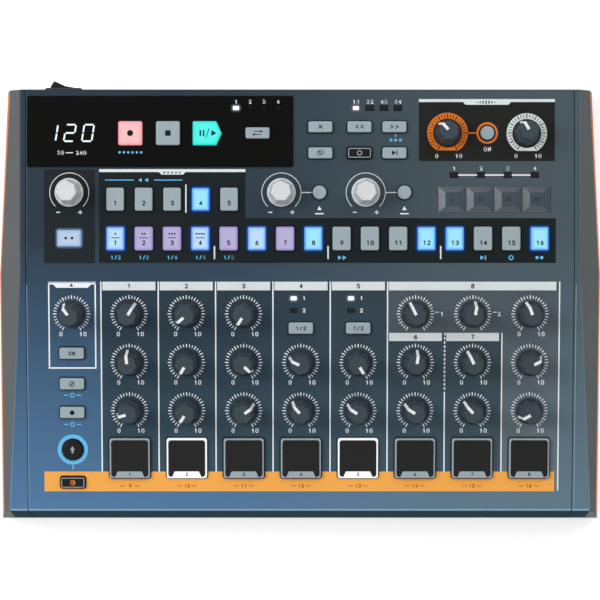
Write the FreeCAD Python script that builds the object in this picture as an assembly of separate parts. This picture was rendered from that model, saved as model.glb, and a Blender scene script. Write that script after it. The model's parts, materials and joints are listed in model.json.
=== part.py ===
"""Tabletop analogue drum machine, in millimetres.

The frame has X to the right, Y to the back and Z up. Its origin is on the table, under the
middle of the whole object. The control panel has a level rear zone and a front zone that
slopes down towards the player. Places on it are given as (zone, x, d): on the level zone d
is the Y coordinate, and on the sloped zone d is the distance down the slope from the fold.
"""
import FreeCAD, Part
import math
import os

from FreeCAD import Placement, Rotation, Vector

os.makedirs("parts", exist_ok=True)

# Case, outside sizes
CASE_WIDTH = 316.0
REAR_TAPER = 4.3
FRONT_TAPER = 1.6
CASE_DEPTH = 224.0
ROCKER_REACH = 4.0
TOP_Z = 45.0
FOOT_HEIGHT = 3.0
RIM_HEIGHT = 5.0
SLOPE_DEG = 5.0
FOLD_Y = 14.0
FOLD_RADIUS = 100.0
FRONT_DRAFT_DEG = 13.5
REAR_DRAFT_DEG = 3.1
SIDE_DRAFT_DEG = 10.0
FACET_SETBACK = 15.6
FACET_RUN = 0.6

# Sheets and walls
SHEET = 1.5
CHEEK_WALL = 3.0
TRIM_SHEET = 1.6
REAR_WALL = 2.5
BASE_FLOOR = 2.5
BASE_RIM = 3.0
SEAM_SETBACK = 2.8
SEAM_GAP = 0.4
STRIP_SETBACK = 8.5
FRONT_WALL_END_Z = 10.0
TRIM_DROP = 0.4
TRIM_GAP = 0.1
WINDOW_SHEET = 0.6
CUT_PAST = 1.0

# Boards inside
BOARD_DEPTH = 9.0
BOARD_SHEET = 1.6
BOARD_SIDE_GAP = 4.1
BOARD_REAR_Y = 101.0
BOARD_FOLD_GAP = 4.0
SLOPE_BOARD_END = 119.0
JACK_BOARD_Z = 13.0
JACK_BOARD_DEPTH = 22.0

# Knobs, pots and encoders
SHAFT_R = 3.0
RUNNING_GAP = 0.05
SHAFT_HOLE_GAP = 0.75
KNOB_LIFT = 0.7
KNOB_TOP = 15.0
KNOB_SKIRT_R = 6.8
KNOB_WAIST_R = 5.7
KNOB_TOP_R = 4.9
ENCODER_SKIRT_R = 7.3
ENCODER_WAIST_R = 6.3
ENCODER_TOP_R = 5.2
KNOB_FACES = 7
SKIRT_RISE = 1.0
FLARE_RISE = 3.2
GRIP_INSET = 0.4
SHAFT_IN_KNOB = 8.0
POT_WIDTH = 9.6
POT_LENGTH = 11.0
POT_TOP_GAP = 1.0
POT_BORE_DEPTH = 5.0
SHAFT_END_GAP = 0.2

# Keys and pads
KEY_GAP = 0.35
KEY_PROUD = 1.8
KEY_CORNER_R = 1.2
KEY_EDGE_R = 0.4
KEY_FLANGE = 1.2
KEY_FLANGE_SHEET = 1.0
KEY_FLANGE_GAP = 0.25
KEY_STEM_R = 1.6
KEY_STEM_END_GAP = 0.8
KEY_TRAVEL = 1.0
SWITCH_WIDTH = 6.0
SWITCH_HEIGHT = 5.0
SWITCH_BORE_DEPTH = 3.8
PAD_PROUD = 2.6
PAD_BOSS_R = 6.0
SENSOR_R = 7.0
SENSOR_SHEET = 0.6
SENSOR_GAP = 1.3

# Layout of the level zone
WINDOW_LEFT = -139.1
WINDOW_RIGHT = -3.5
WINDOW_FRONT = 68.5
WINDOW_REAR = 104.7
TRANSPORT_Y = 85.6
RECORD_X = -86.4
STOP_X = -67.2
PLAY_LEFT = -54.8
PLAY_SHOULDER = -42.5
PLAY_TIP = -39.6
TRANSPORT_SIZE = 12.6
SYNC_X = -21.6
SYNC_Y = 85.7
SMALL_KEY = (12.7, 6.1)
EDIT_REAR_Y = 88.9
EDIT_FRONT_Y = 75.6
ERASE_X = 10.4
BACK_X = 30.3
FORWARD_X = 48.1
ENCODER_Y = 55.5
TEMPO_X = -117.6
SWING_X = -9.5
RANDOM_X = 33.5
ROUND_KEY_R = 3.75
ROUND_KEY_XS = (9.9, 53.2)
MODE_KEY = (9.4, 12.2)
MODE_FIRST_X = -94.1
MODE_PITCH = 14.5
MODE_COUNT = 5
MODE_Y = 52.0
STEP_KEY = (9.7, 12.5)
STEP_FIRST_X = -94.0
STEP_PITCH = 14.4
STEP_COUNT = 16
STEP_Y = 32.0
TAP_KEY = (12.8, 9.1)
TAP_Y = 32.2
DISTORTION_X = 75.2
DISTORTION_KEY_X = 95.4
MASTER_X = 115.6
OUTPUT_Y = 85.8
TOUCH_CENTRE = (99.0, 51.9)
TOUCH_SIZE = (57.2, 13.3)
TOUCH_CELLS = 4
TOUCH_RISE = 1.3
TOUCH_FLAT = (7.0, 7.1)
LAMP = (4.2, 2.8)
LAMP_PROUD = 0.3
LAMP_GAP = 0.1
LAMP_COUNT = 4
LAMP_ROW_Y = 98.5
SOURCE_LAMP_X = -32.6
PAGE_LAMP_X = 28.5
LAMP_PITCH = 7.13
REPEAT_LAMP_X = 78.5
REPEAT_LAMP_PITCH = 13.7
REPEAT_LAMP_Y = 64.4
DISPLAY_CENTRE = (-115.0, 85.6)
DISPLAY_MODULE = (30.0, 16.0)
DISPLAY_HOLE = (26.0, 12.0)
DISPLAY_TOP_GAP = 0.3

# Layout of the sloped zone
LEFT_COLUMN_X = -116.6
COLUMN_FIRST_X = -87.3
COLUMN_PITCH = 29.25
ROW_FIRST_D = 20.5
ROW_PITCH = 24.9
PAD_SIZE = 21.3
PAD_D = 94.7
ON_KEY_D = 40.6
MUTE_KEY_D = 56.3
SOLO_KEY_D = 71.1
SHIFT_D = 90.4
SHIFT_R = 5.2
COLOUR_KEY_D = 107.3
CHANNEL_KEY = (13.0, 6.3)
TYPE_COLUMNS = (3, 4)
TYPE_KEY_D = 27.7
TYPE_LAMP_DS = (12.5, 18.8)
TYPE_LAMP_OFFSET = -3.7

# Rear connectors
BAY_Y = 107.8
BAY_SIDE_WALL = 4.6
BAY_BOTTOM_Z = 11.0
BAY_TOP_Z = 38.0
AXIS_Z = 23.0
BIG_JACK_XS = (-4.0, 22.0, 48.0, 74.0, 100.0, 124.0)
BIG_JACK_BORE_R = 3.2
BIG_JACK_BUSH_R = 4.5
BIG_JACK_NUT = 12.0
BIG_JACK_BODY = (15.0, 21.0)
SMALL_JACK_XS = (-34.0, -20.0)
SMALL_JACK_BORE_R = 1.8
SMALL_JACK_BUSH_R = 3.0
SMALL_JACK_NUT = 8.0
SMALL_JACK_BODY = (9.0, 14.0)
JACK_REACH = 1.8
JACK_BACK_WALL = 2.0
NUT_SHEET = 1.4
PANEL_HOLE_GAP = 0.1
DIN_XS = (-78.0, -54.0)
DIN_BORE_R = 7.0
DIN_BORE_DEPTH = 8.0
DIN_BODY = (19.0, 13.0)
DIN_COLLAR_R = 8.0
DIN_PIN_R = 0.8
DIN_PIN_DEPTH = 3.0
DIN_PIN_CIRCLE_R = 3.75
DIN_PIN_COUNT = 5
DIN_PIN_STEP_DEG = 45.0
USB_X = -97.0
USB_OPENING = (8.4, 7.8)
USB_BODY = (12.0, 16.0)
USB_DEPTH = 12.0
USB_SHELL = 0.8
USB_TONGUE = (5.5, 3.2)
USB_TONGUE_START = 4.6
DC_X = -108.0
DC_COLLAR_R = 3.7
DC_BORE_R = 2.8
DC_BORE_DEPTH = 5.0
DC_CHAMBER_R = 2.4
DC_CHAMBER_DEPTH = 5.0
DC_PIN_R = 1.0
DC_PIN_LENGTH = 4.6
DC_PIN_ROOT = 1.0
DC_BODY = (9.0, 14.0)
SWITCH_X = -122.3
SWITCH_BEZEL = (19.0, 13.0)
SWITCH_BEZEL_SHEET = 2.6
SWITCH_BEZEL_CHAMFER = 0.6
SWITCH_BODY = (16.4, 11.0)
SWITCH_BODY_DEPTH = 10.0
ROCKER_PIVOT_Y = 108.6
ROCKER_R = 7.2
ROCKER_HEIGHT = 9.0
ROCKER_GAP = 0.25
ROCKER_HIGH_DEG = 48.6
ROCKER_LOW_DEG = 14.0
ROCKER_DISH = 0.8
ROCKER_DEPTH_BELOW = 3.0
TRUNNION_R = 1.0
TRUNNION_LENGTH = 0.8
TRUNNION_END_GAP = 0.2

# Feet and fasteners
FOOT_R = 7.0
FOOT_CHAMFER = 0.6
FOOT_PLUG_R = 3.0
FOOT_PLUG_LENGTH = 1.5
FOOT_INSET_X = 16.0
FOOT_INSET_Y = 18.0
SCREW_R = 1.5
SCREW_HEAD_R = 2.8
SCREW_HEAD_HEIGHT = 1.6
SCREW_HOLE_GAP = 0.1
SPACER_R = 3.0
CHEEK_BOSS_R = 4.0
SCREW_BITE = 6.0
PLATE_SCREWS = ((-129.0, 70.0), (-60.0, 72.0), (-4.0, 77.0), (128.0, 76.0), (-129.0, 21.3),
                (-43.6, 21.3), (57.2, 21.3), (129.0, 21.3), (-127.0, -100.0), (-43.4, -41.0),
                (44.3, -41.0), (127.0, -100.0))
CHEEK_SCREW_YS = (90.0, 0.0, -80.0)
CHEEK_SCREW_SETBACK = 9.0
CHEEK_SCREW_BITE = 8.0

# Worked out from the sizes above
FRONT_Y = -(CASE_DEPTH + ROCKER_REACH) / 2.0
REAR_Y = FRONT_Y + CASE_DEPTH
RIM_TOP_Z = FOOT_HEIGHT + RIM_HEIGHT
FACET_HALF_WIDTH = CASE_WIDTH / 2.0 - FACET_SETBACK
PLATE_HALF_WIDTH = FACET_HALF_WIDTH - SEAM_SETBACK
STRIP_FRONT_X = CASE_WIDTH / 2.0 - STRIP_SETBACK
CHEEK_SCREW_X = CASE_WIDTH / 2.0 - CHEEK_SCREW_SETBACK
BOARD_HALF_WIDTH = PLATE_HALF_WIDTH - BOARD_SIDE_GAP
BAY_HALF_WIDTH = PLATE_HALF_WIDTH - BAY_SIDE_WALL
POT_HEIGHT = BOARD_DEPTH - SHEET - POT_TOP_GAP
DISPLAY_MODULE_HEIGHT = BOARD_DEPTH - SHEET - DISPLAY_TOP_GAP
FLAT, SLOPE = "flat", "slope"
UP = Vector(0, 0, 1)


def column(index):
    return COLUMN_FIRST_X + COLUMN_PITCH * index


def row(index):
    return ROW_FIRST_D + ROW_PITCH * index


# Each pot knob: its zone and place, and where its pointer stands, clockwise from the rear
POT_KNOBS = {
    "metronome_volume_knob": (SLOPE, LEFT_COLUMN_X, row(0), -36.0),
    "kick_decay_knob": (SLOPE, column(0), row(0), 32.0),
    "kick_pitch_knob": (SLOPE, column(0), row(1), -7.0),
    "kick_level_knob": (SLOPE, column(0), row(2), -105.0),
    "snare_1_decay_knob": (SLOPE, column(1), row(0), -130.0),
    "snare_1_tone_knob": (SLOPE, column(1), row(1), -150.0),
    "snare_1_level_knob": (SLOPE, column(1), row(2), -146.0),
    "snare_2_decay_knob": (SLOPE, column(2), row(0), -148.0),
    "snare_2_tone_knob": (SLOPE, column(2), row(1), 133.0),
    "snare_2_level_knob": (SLOPE, column(2), row(2), 55.0),
    "tom_pitch_knob": (SLOPE, column(3), row(1), -66.0),
    "tom_level_knob": (SLOPE, column(3), row(2), -42.0),
    "cymbal_decay_knob": (SLOPE, column(4), row(1), 149.0),
    "cymbal_level_knob": (SLOPE, column(4), row(2), -58.0),
    "fm_mod_pitch_knob": (SLOPE, column(5), row(0), -26.0),
    "closed_hat_tone_knob": (SLOPE, column(5), row(1), 8.0),
    "closed_hat_level_knob": (SLOPE, column(5), row(2), -57.0),
    "fm_amount_knob": (SLOPE, column(6), row(0), 10.0),
    "open_hat_decay_knob": (SLOPE, column(6), row(1), -25.0),
    "open_hat_level_knob": (SLOPE, column(6), row(2), -42.0),
    "fm_decay_knob": (SLOPE, column(7), row(0), -20.0),
    "fm_carrier_pitch_knob": (SLOPE, column(7), row(1), 62.0),
    "fm_level_knob": (SLOPE, column(7), row(2), -118.0),
    "distortion_knob": (FLAT, DISTORTION_X, OUTPUT_Y, -42.0),
    "master_volume_knob": (FLAT, MASTER_X, OUTPUT_Y, -30.0),
}

ENCODER_KNOBS = {
    "tempo_knob": (FLAT, TEMPO_X, ENCODER_Y, 0.0),
    "swing_knob": (FLAT, SWING_X, ENCODER_Y, 0.0),
    "randomness_knob": (FLAT, RANDOM_X, ENCODER_Y, 0.0),
}

PADS = ("kick_pad", "snare_1_pad", "snare_2_pad", "tom_pad",
        "cymbal_pad", "closed_hat_pad", "open_hat_pad", "fm_drum_pad")


def rounded_outline(width, length, radius):
    half_w, half_l = width / 2.0, length / 2.0
    corners = [(half_w, half_l), (-half_w, half_l), (-half_w, -half_l), (half_w, -half_l)]
    edges = []
    for index, (x, y) in enumerate(corners):
        sx, sy = math.copysign(1, x), math.copysign(1, y)
        centre = Vector(x - sx * radius, y - sy * radius, 0)
        start_deg = 90.0 * index
        arc = Part.makeCircle(radius, centre, UP, start_deg, start_deg + 90.0)
        edges.append(arc)
    joined = []
    for index, arc in enumerate(edges):
        following = edges[(index + 1) % len(edges)]
        joined.append(arc)
        joined.append(Part.makeLine(arc.lastVertex(True).Point, following.firstVertex(True).Point))
    return Part.Wire(joined)


def rounded_block(width, length, radius, low, high):
    face = Part.Face(rounded_outline(width, length, radius))
    block = face.extrude(Vector(0, 0, high - low))
    block.translate(Vector(0, 0, low))
    return block


def centred_box(width, length, low, high):
    return Part.makeBox(width, length, high - low, Vector(-width / 2.0, -length / 2.0, low))


def rod(radius, low, high):
    return Part.makeCylinder(radius, high - low, Vector(0, 0, low), UP)


def prism(points, direction):
    wire = Part.makePolygon([Vector(*point) for point in points + points[:1]])
    return Part.Face(wire).extrude(Vector(*direction))


def fused(shapes):
    result = shapes[0]
    if len(shapes) > 1:
        result = shapes[0].multiFuse(shapes[1:])
    return result.removeSplitter()


def seat(zone, x, d):
    """The placement of a point on the panel, with local Z along the panel's outward normal."""
    if zone == FLAT:
        return Placement(Vector(x, d, TOP_Z), Rotation())
    angle = math.radians(SLOPE_DEG)
    point = Vector(x, FOLD_Y - d * math.cos(angle), TOP_Z - d * math.sin(angle))
    return Placement(point, Rotation(Vector(1, 0, 0), SLOPE_DEG))


def placed(shape, zone, x, d):
    copy = shape.copy()
    copy.Placement = seat(zone, x, d).multiply(copy.Placement)
    return copy


def export(name, shapes):
    shape = shapes[0] if len(shapes) == 1 else Part.makeCompound(shapes)
    shape.exportStep("parts/%s.step" % name)


# Case blocks: the outer form, and the same form taken in by a wall

def profile_block(inset):
    """The case's side view, taken in by a wall thickness and swept across the width."""
    slope = math.radians(SLOPE_DEG)
    draft = math.radians(FRONT_DRAFT_DEG)
    rear_draft = math.radians(REAR_DRAFT_DEG)
    bend_y = FOLD_Y + FOLD_RADIUS * math.tan(slope / 2.0)
    bend_z = TOP_Z - FOLD_RADIUS
    radius = FOLD_RADIUS - inset

    def on_bend(angle):
        return (bend_y - radius * math.sin(angle), bend_z + radius * math.cos(angle))

    low_z = RIM_TOP_Z
    slope_z = TOP_Z - inset / math.cos(slope) - FOLD_Y * math.tan(slope)
    front_base = FRONT_Y + inset / math.cos(draft) - RIM_TOP_Z * math.tan(draft)
    front_z = (slope_z + front_base * math.tan(slope)) / (1 - math.tan(slope) * math.tan(draft))
    front_y = front_base + front_z * math.tan(draft)
    low_front_y = front_base + low_z * math.tan(draft)
    rear_low_y = REAR_Y - inset / math.cos(rear_draft)
    rear_top_y = rear_low_y - (TOP_Z - inset - low_z) * math.tan(rear_draft)

    def point(yz):
        return Vector(-CASE_WIDTH, yz[0], yz[1])

    flat_end, bend_mid, slope_start = on_bend(0), on_bend(slope / 2.0), on_bend(slope)
    corners = [flat_end, (rear_top_y, TOP_Z - inset), (rear_low_y, low_z),
               (low_front_y, low_z), (front_y, front_z), slope_start]
    edges = [Part.makeLine(point(a), point(b)) for a, b in zip(corners, corners[1:])]
    bend = Part.Arc(point(slope_start), point(bend_mid), point(flat_end)).toShape()
    face = Part.Face(Part.Wire(edges + [bend]))
    return face.extrude(Vector(2 * CASE_WIDTH, 0, 0))


def facet_x(z):
    return FACET_HALF_WIDTH + FACET_RUN * (TOP_Z - z)


def facet_block(inset):
    """Everything between the two sloping side facets."""
    shift = inset * math.sqrt(1 + FACET_RUN ** 2)
    low, high = facet_x(0) - shift, facet_x(2 * TOP_Z) - shift
    y = FRONT_Y - CASE_DEPTH
    points = [(-low, y, 0), (low, y, 0), (high, y, 2 * TOP_Z), (-high, y, 2 * TOP_Z)]
    return prism(points, (0, 3 * CASE_DEPTH, 0))


def outline(shrink, z):
    """The case's plan at the rim, wider in the middle than at either end."""
    half = CASE_WIDTH / 2.0 - shrink
    right = [(half - REAR_TAPER, REAR_Y, z), (half, FOLD_Y, z), (half - FRONT_TAPER, FRONT_Y, z)]
    left = [(-x, y, z) for x, y, z in reversed(right)]
    return right + left


def side_wall_block(inset):
    """Everything between the drafted side walls, above the rim."""
    height = TOP_Z - RIM_TOP_Z
    taper = height * math.tan(math.radians(SIDE_DRAFT_DEG))
    wires = []
    for shrink, z in ((inset, RIM_TOP_Z), (inset + taper, TOP_Z)):
        points = [Vector(*p) for p in outline(shrink, z)]
        wires.append(Part.makePolygon(points + points[:1]))
    return Part.makeLoft(wires, True, True)


def case_block(inset):
    return profile_block(inset).common(facet_block(inset)).common(side_wall_block(inset))


def facet_edge_z(y):
    """Height of the line where the sloping facet meets the side wall."""
    (rear_x, rear_y, _), (mid_x, mid_y, _), (front_x, front_y, _) = outline(0, 0)[:3]
    if y >= mid_y:
        wall_x = mid_x + (rear_x - mid_x) * (y - mid_y) / (rear_y - mid_y)
    else:
        wall_x = mid_x + (front_x - mid_x) * (mid_y - y) / (mid_y - front_y)
    draft = math.tan(math.radians(SIDE_DRAFT_DEG))
    return (facet_x(0) - wall_x - RIM_TOP_Z * draft) / (FACET_RUN - draft)


def between_x(low, high):
    return Part.makeBox(high - low, 3 * CASE_DEPTH, 2 * TOP_Z, Vector(low, -1.5 * CASE_DEPTH, 0))


def mirrored(shape):
    return shape.mirror(Vector(0, 0, 0), Vector(1, 0, 0))


# Holes in the control panel

def key_list():
    """Every key as (group, zone, x, d, kind, size)."""
    keys = [
        ("record_button", FLAT, RECORD_X, TRANSPORT_Y, "square", (TRANSPORT_SIZE, TRANSPORT_SIZE)),
        ("stop_button", FLAT, STOP_X, TRANSPORT_Y, "square", (TRANSPORT_SIZE, TRANSPORT_SIZE)),
        ("play_button", FLAT, 0.0, TRANSPORT_Y, "arrow", None),
        ("function_keys", FLAT, SYNC_X, SYNC_Y, "square", SMALL_KEY),
        ("function_keys", FLAT, TEMPO_X, TAP_Y, "square", TAP_KEY),
        ("function_keys", FLAT, DISTORTION_KEY_X, OUTPUT_Y, "round", ROUND_KEY_R),
        ("shift_key", SLOPE, LEFT_COLUMN_X, SHIFT_D, "round", SHIFT_R),
    ]
    for x in (ERASE_X, BACK_X, FORWARD_X):
        keys.append(("function_keys", FLAT, x, EDIT_REAR_Y, "square", SMALL_KEY))
        keys.append(("function_keys", FLAT, x, EDIT_FRONT_Y, "square", SMALL_KEY))
    for x in ROUND_KEY_XS:
        keys.append(("function_keys", FLAT, x, ENCODER_Y, "round", ROUND_KEY_R))
    for index in range(MODE_COUNT):
        x = MODE_FIRST_X + MODE_PITCH * index
        keys.append(("mode_keys", FLAT, x, MODE_Y, "square", MODE_KEY))
    for index in range(STEP_COUNT):
        x = STEP_FIRST_X + STEP_PITCH * index
        keys.append(("step_keys", FLAT, x, STEP_Y, "square", STEP_KEY))
    for d in (ON_KEY_D, MUTE_KEY_D, SOLO_KEY_D, COLOUR_KEY_D):
        keys.append(("channel_keys", SLOPE, LEFT_COLUMN_X, d, "square", CHANNEL_KEY))
    for index in TYPE_COLUMNS:
        keys.append(("channel_keys", SLOPE, column(index), TYPE_KEY_D, "square", CHANNEL_KEY))
    return keys


def lamp_list():
    """Every indicator lamp as (zone, x, d, height above the panel)."""
    lamps = []
    for index in range(LAMP_COUNT):
        lamps.append((FLAT, SOURCE_LAMP_X + LAMP_PITCH * index, LAMP_ROW_Y, WINDOW_SHEET))
        lamps.append((FLAT, PAGE_LAMP_X + LAMP_PITCH * index, LAMP_ROW_Y, 0.0))
        x = REPEAT_LAMP_X + REPEAT_LAMP_PITCH * index
        lamps.append((FLAT, x, REPEAT_LAMP_Y, 0.0))
    for index in TYPE_COLUMNS:
        for d in TYPE_LAMP_DS:
            lamps.append((SLOPE, column(index) + TYPE_LAMP_OFFSET, d, 0.0))
    return lamps


def arrow_block(grow, low, high):
    """The play key's five-sided plan, pointing right, grown by a gap."""
    half = TRANSPORT_SIZE / 2.0 + grow
    left, right = PLAY_LEFT - grow, PLAY_TIP + grow
    points = [(left, -half, low), (PLAY_SHOULDER, -half, low), (right, 0, low),
              (PLAY_SHOULDER, half, low), (left, half, low)]
    return prism(points, (0, 0, high - low))


def key_block(kind, size, grow, low, high):
    if kind == "round":
        return rod(size + grow, low, high)
    if kind == "arrow":
        return arrow_block(grow, low, high)
    return rounded_block(size[0] + 2 * grow, size[1] + 2 * grow, KEY_CORNER_R + grow, low, high)


def panel_cutters():
    low, high = -2 * SHEET, 2 * SHEET
    cutters = []
    for zone, x, d, _ in list(POT_KNOBS.values()) + list(ENCODER_KNOBS.values()):
        cutters.append(placed(rod(SHAFT_R + SHAFT_HOLE_GAP, low, high), zone, x, d))
    for _, zone, x, d, kind, size in key_list():
        cutters.append(placed(key_block(kind, size, KEY_GAP, low, high), zone, x, d))
    for index in range(len(PADS)):
        hole = key_block("square", (PAD_SIZE, PAD_SIZE), KEY_GAP, low, high)
        cutters.append(placed(hole, SLOPE, column(index), PAD_D))
    for zone, x, d, _ in lamp_list():
        hole = centred_box(LAMP[0] + 2 * LAMP_GAP, LAMP[1] + 2 * LAMP_GAP, low, high)
        cutters.append(placed(hole, zone, x, d))
    touch = centred_box(TOUCH_SIZE[0] + 2 * LAMP_GAP, TOUCH_SIZE[1] + 2 * LAMP_GAP, low, high)
    cutters.append(placed(touch, FLAT, *TOUCH_CENTRE))
    cutters.append(placed(centred_box(*DISPLAY_HOLE, low, high), FLAT, *DISPLAY_CENTRE))
    return cutters


# Case pieces

def make_strip():
    """The painted edge strip that lies on the right cheek, level with the panel."""
    sheet = profile_block(0).cut(profile_block(SHEET)).common(facet_block(0))
    strip = sheet.common(between_x(PLATE_HALF_WIDTH + SEAM_GAP, STRIP_FRONT_X))
    return strip.cut(below_sheet_at_rear()).cut(under_front_wall())


def under_front_wall():
    return Part.makeBox(4 * CASE_WIDTH, 4 * CASE_DEPTH, FRONT_WALL_END_Z,
                        Vector(-2 * CASE_WIDTH, -2 * CASE_DEPTH, 0))


def below_sheet_at_rear():
    return Part.makeBox(4 * CASE_WIDTH, CASE_DEPTH, TOP_Z - SHEET,
                        Vector(-2 * CASE_WIDTH, REAR_Y - CASE_DEPTH / 4.0, 0))


def make_top_panel():
    sheet = profile_block(0).cut(profile_block(SHEET))
    plate = sheet.common(between_x(-PLATE_HALF_WIDTH, PLATE_HALF_WIDTH))
    plate = plate.cut(below_sheet_at_rear()).cut(under_front_wall())
    plate = plate.cut(Part.makeCompound(panel_cutters()))
    strip = make_strip()
    return [plate, strip, mirrored(strip)]


def make_trim(gap):
    """The side sheet under the facet, on the right, or with a gap the pocket that holds it."""
    sheet = side_wall_block(-gap).cut(side_wall_block(TRIM_SHEET + gap))
    sheet = sheet.common(profile_block(CHEEK_WALL / 2.0 - gap)).common(between_x(0, CASE_WIDTH))
    y_front, y_rear = FRONT_Y - CUT_PAST, REAR_Y + CUT_PAST
    top = [(0, y, facet_edge_z(y) - TRIM_DROP + gap) for y in (y_front, FOLD_Y, y_rear)]
    points = [(0, y_rear, 0), (0, y_front, 0)] + top
    return sheet.common(prism(points, (CASE_WIDTH, 0, 0)))


def make_cheek(strip):
    shell = case_block(0).cut(case_block(CHEEK_WALL))
    shell = shell.common(between_x(PLATE_HALF_WIDTH + SEAM_GAP, CASE_WIDTH))
    for y in CHEEK_SCREW_YS:
        boss = Part.makeCylinder(CHEEK_BOSS_R, TOP_Z, Vector(CHEEK_SCREW_X, y, RIM_TOP_Z), UP)
        shell = shell.fuse(boss.common(case_block(CHEEK_WALL / 2.0)))
    shell = shell.cut(strip).cut(make_trim(TRIM_GAP))
    for y in CHEEK_SCREW_YS:
        shell = shell.cut(Part.makeCylinder(SCREW_R, CHEEK_SCREW_BITE,
                                            Vector(CHEEK_SCREW_X, y, RIM_TOP_Z), UP))
    return shell.removeSplitter()


def foot_places():
    rear_x = CASE_WIDTH / 2.0 - REAR_TAPER - FOOT_INSET_X
    front_x = CASE_WIDTH / 2.0 - FRONT_TAPER - FOOT_INSET_X
    rear_y, front_y = REAR_Y - FOOT_INSET_Y, FRONT_Y + FOOT_INSET_Y
    return [(-rear_x, rear_y), (rear_x, rear_y), (-front_x, front_y), (front_x, front_y)]


def screw_places():
    cheeks = [(side * CHEEK_SCREW_X, y) for side in (-1, 1) for y in CHEEK_SCREW_YS]
    return list(PLATE_SCREWS) + cheeks


def make_base_shell():
    floor_z = FOOT_HEIGHT + BASE_FLOOR
    tray = prism(outline(0, FOOT_HEIGHT), (0, 0, RIM_HEIGHT))
    half = [(x - BASE_RIM, y) for x, y, _ in outline(0, 0)[:3]]
    half[0] = (half[0][0], REAR_Y - BASE_RIM)
    half[2] = (half[2][0], FRONT_Y + BASE_RIM)
    right = [(x, y, floor_z) for x, y in half]
    left = [(-x, y, z) for x, y, z in reversed(right)]
    tray = tray.cut(prism(right + left, (0, 0, RIM_HEIGHT)))
    for side in (-1, 1):
        for y in CHEEK_SCREW_YS:
            post = Part.makeCylinder(CHEEK_BOSS_R, RIM_TOP_Z - floor_z,
                                     Vector(side * CHEEK_SCREW_X, y, floor_z), UP)
            tray = tray.fuse(post)
    holes = []
    for x, y in screw_places():
        base = Vector(x, y, 0)
        holes.append(Part.makeCylinder(SCREW_R + SCREW_HOLE_GAP, 2 * RIM_TOP_Z, base, UP))
        head_top = FOOT_HEIGHT + SCREW_HEAD_HEIGHT
        holes.append(Part.makeCylinder(SCREW_HEAD_R + SCREW_HOLE_GAP, head_top, base, UP))
    for x, y in foot_places():
        holes.append(Part.makeCylinder(FOOT_PLUG_R, FOOT_HEIGHT + FOOT_PLUG_LENGTH,
                                       Vector(x, y, 0), UP))
    front_lip = front_wall_lip()
    return tray.fuse(front_lip).cut(Part.makeCompound(holes)).removeSplitter()


def front_wall_lip():
    """The low lip that stands from the rim and closes the gap under the front wall."""
    skin = profile_block(0).cut(profile_block(BASE_RIM))
    reach = STRIP_FRONT_X
    band = Part.makeBox(2 * reach, CASE_DEPTH / 2.0, FRONT_WALL_END_Z - RIM_TOP_Z,
                        Vector(-reach, FRONT_Y - CASE_DEPTH / 4.0, RIM_TOP_Z))
    lip = skin.common(band)
    return lip.common(between_x(-PLATE_HALF_WIDTH, PLATE_HALF_WIDTH))


def make_feet():
    feet = []
    for x, y in foot_places():
        pad = Part.makeCylinder(FOOT_R, FOOT_HEIGHT, Vector(x, y, 0), UP)
        low_edge = [edge for edge in pad.Edges if edge.BoundBox.ZMax < FOOT_CHAMFER]
        pad = pad.makeChamfer(FOOT_CHAMFER, low_edge)
        plug = Part.makeCylinder(FOOT_PLUG_R, FOOT_HEIGHT / 2.0 + FOOT_PLUG_LENGTH,
                                 Vector(x, y, FOOT_HEIGHT / 2.0), UP)
        feet.append(fused([pad, plug]))
    return feet


# Inside the case

def board_blocks():
    """The two boards that follow the panel, before their holes."""
    depth = BOARD_REAR_Y - FOLD_Y - BOARD_FOLD_GAP
    low = -BOARD_DEPTH - BOARD_SHEET
    level = Part.makeBox(2 * BOARD_HALF_WIDTH, depth, BOARD_SHEET,
                         Vector(-BOARD_HALF_WIDTH, -depth, low))
    level = placed(level, FLAT, 0, BOARD_REAR_Y)
    length = SLOPE_BOARD_END - BOARD_FOLD_GAP
    sloped = Part.makeBox(2 * BOARD_HALF_WIDTH, length, BOARD_SHEET,
                          Vector(-BOARD_HALF_WIDTH, -length, low))
    return [level, placed(sloped, SLOPE, 0, BOARD_FOLD_GAP)]


def make_boards():
    holes = [Part.makeCylinder(SCREW_R + SCREW_HOLE_GAP, TOP_Z, Vector(x, y, 0), UP)
             for x, y in PLATE_SCREWS]
    cutter = Part.makeCompound(holes)
    boards = [board.cut(cutter) for board in board_blocks()]
    rear = BAY_Y - REAR_WALL
    rear_board = Part.makeBox(2 * BOARD_HALF_WIDTH, JACK_BOARD_DEPTH, BOARD_SHEET,
                              Vector(-BOARD_HALF_WIDTH, rear - JACK_BOARD_DEPTH, JACK_BOARD_Z))
    around = [Part.makeCylinder(SPACER_R + KEY_GAP, TOP_Z, Vector(x, y, 0), UP)
              for x, y in PLATE_SCREWS]
    rear_board = rear_board.cut(Part.makeCompound(around))
    module = centred_box(*DISPLAY_MODULE, -BOARD_DEPTH, -BOARD_DEPTH + DISPLAY_MODULE_HEIGHT)
    return boards + [rear_board, placed(module, FLAT, *DISPLAY_CENTRE)]


def make_pots():
    low = -BOARD_DEPTH
    high = low + POT_HEIGHT
    body = centred_box(POT_WIDTH, POT_LENGTH, low, high)
    body = body.cut(rod(SHAFT_R + RUNNING_GAP, high - POT_BORE_DEPTH, high))
    knobs = list(POT_KNOBS.values()) + list(ENCODER_KNOBS.values())
    return [placed(body, zone, x, d) for zone, x, d, _ in knobs]


def key_centre(zone, x, d, kind):
    if kind == "arrow":
        return zone, (PLAY_LEFT + PLAY_SHOULDER) / 2.0, d
    return zone, x, d


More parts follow.
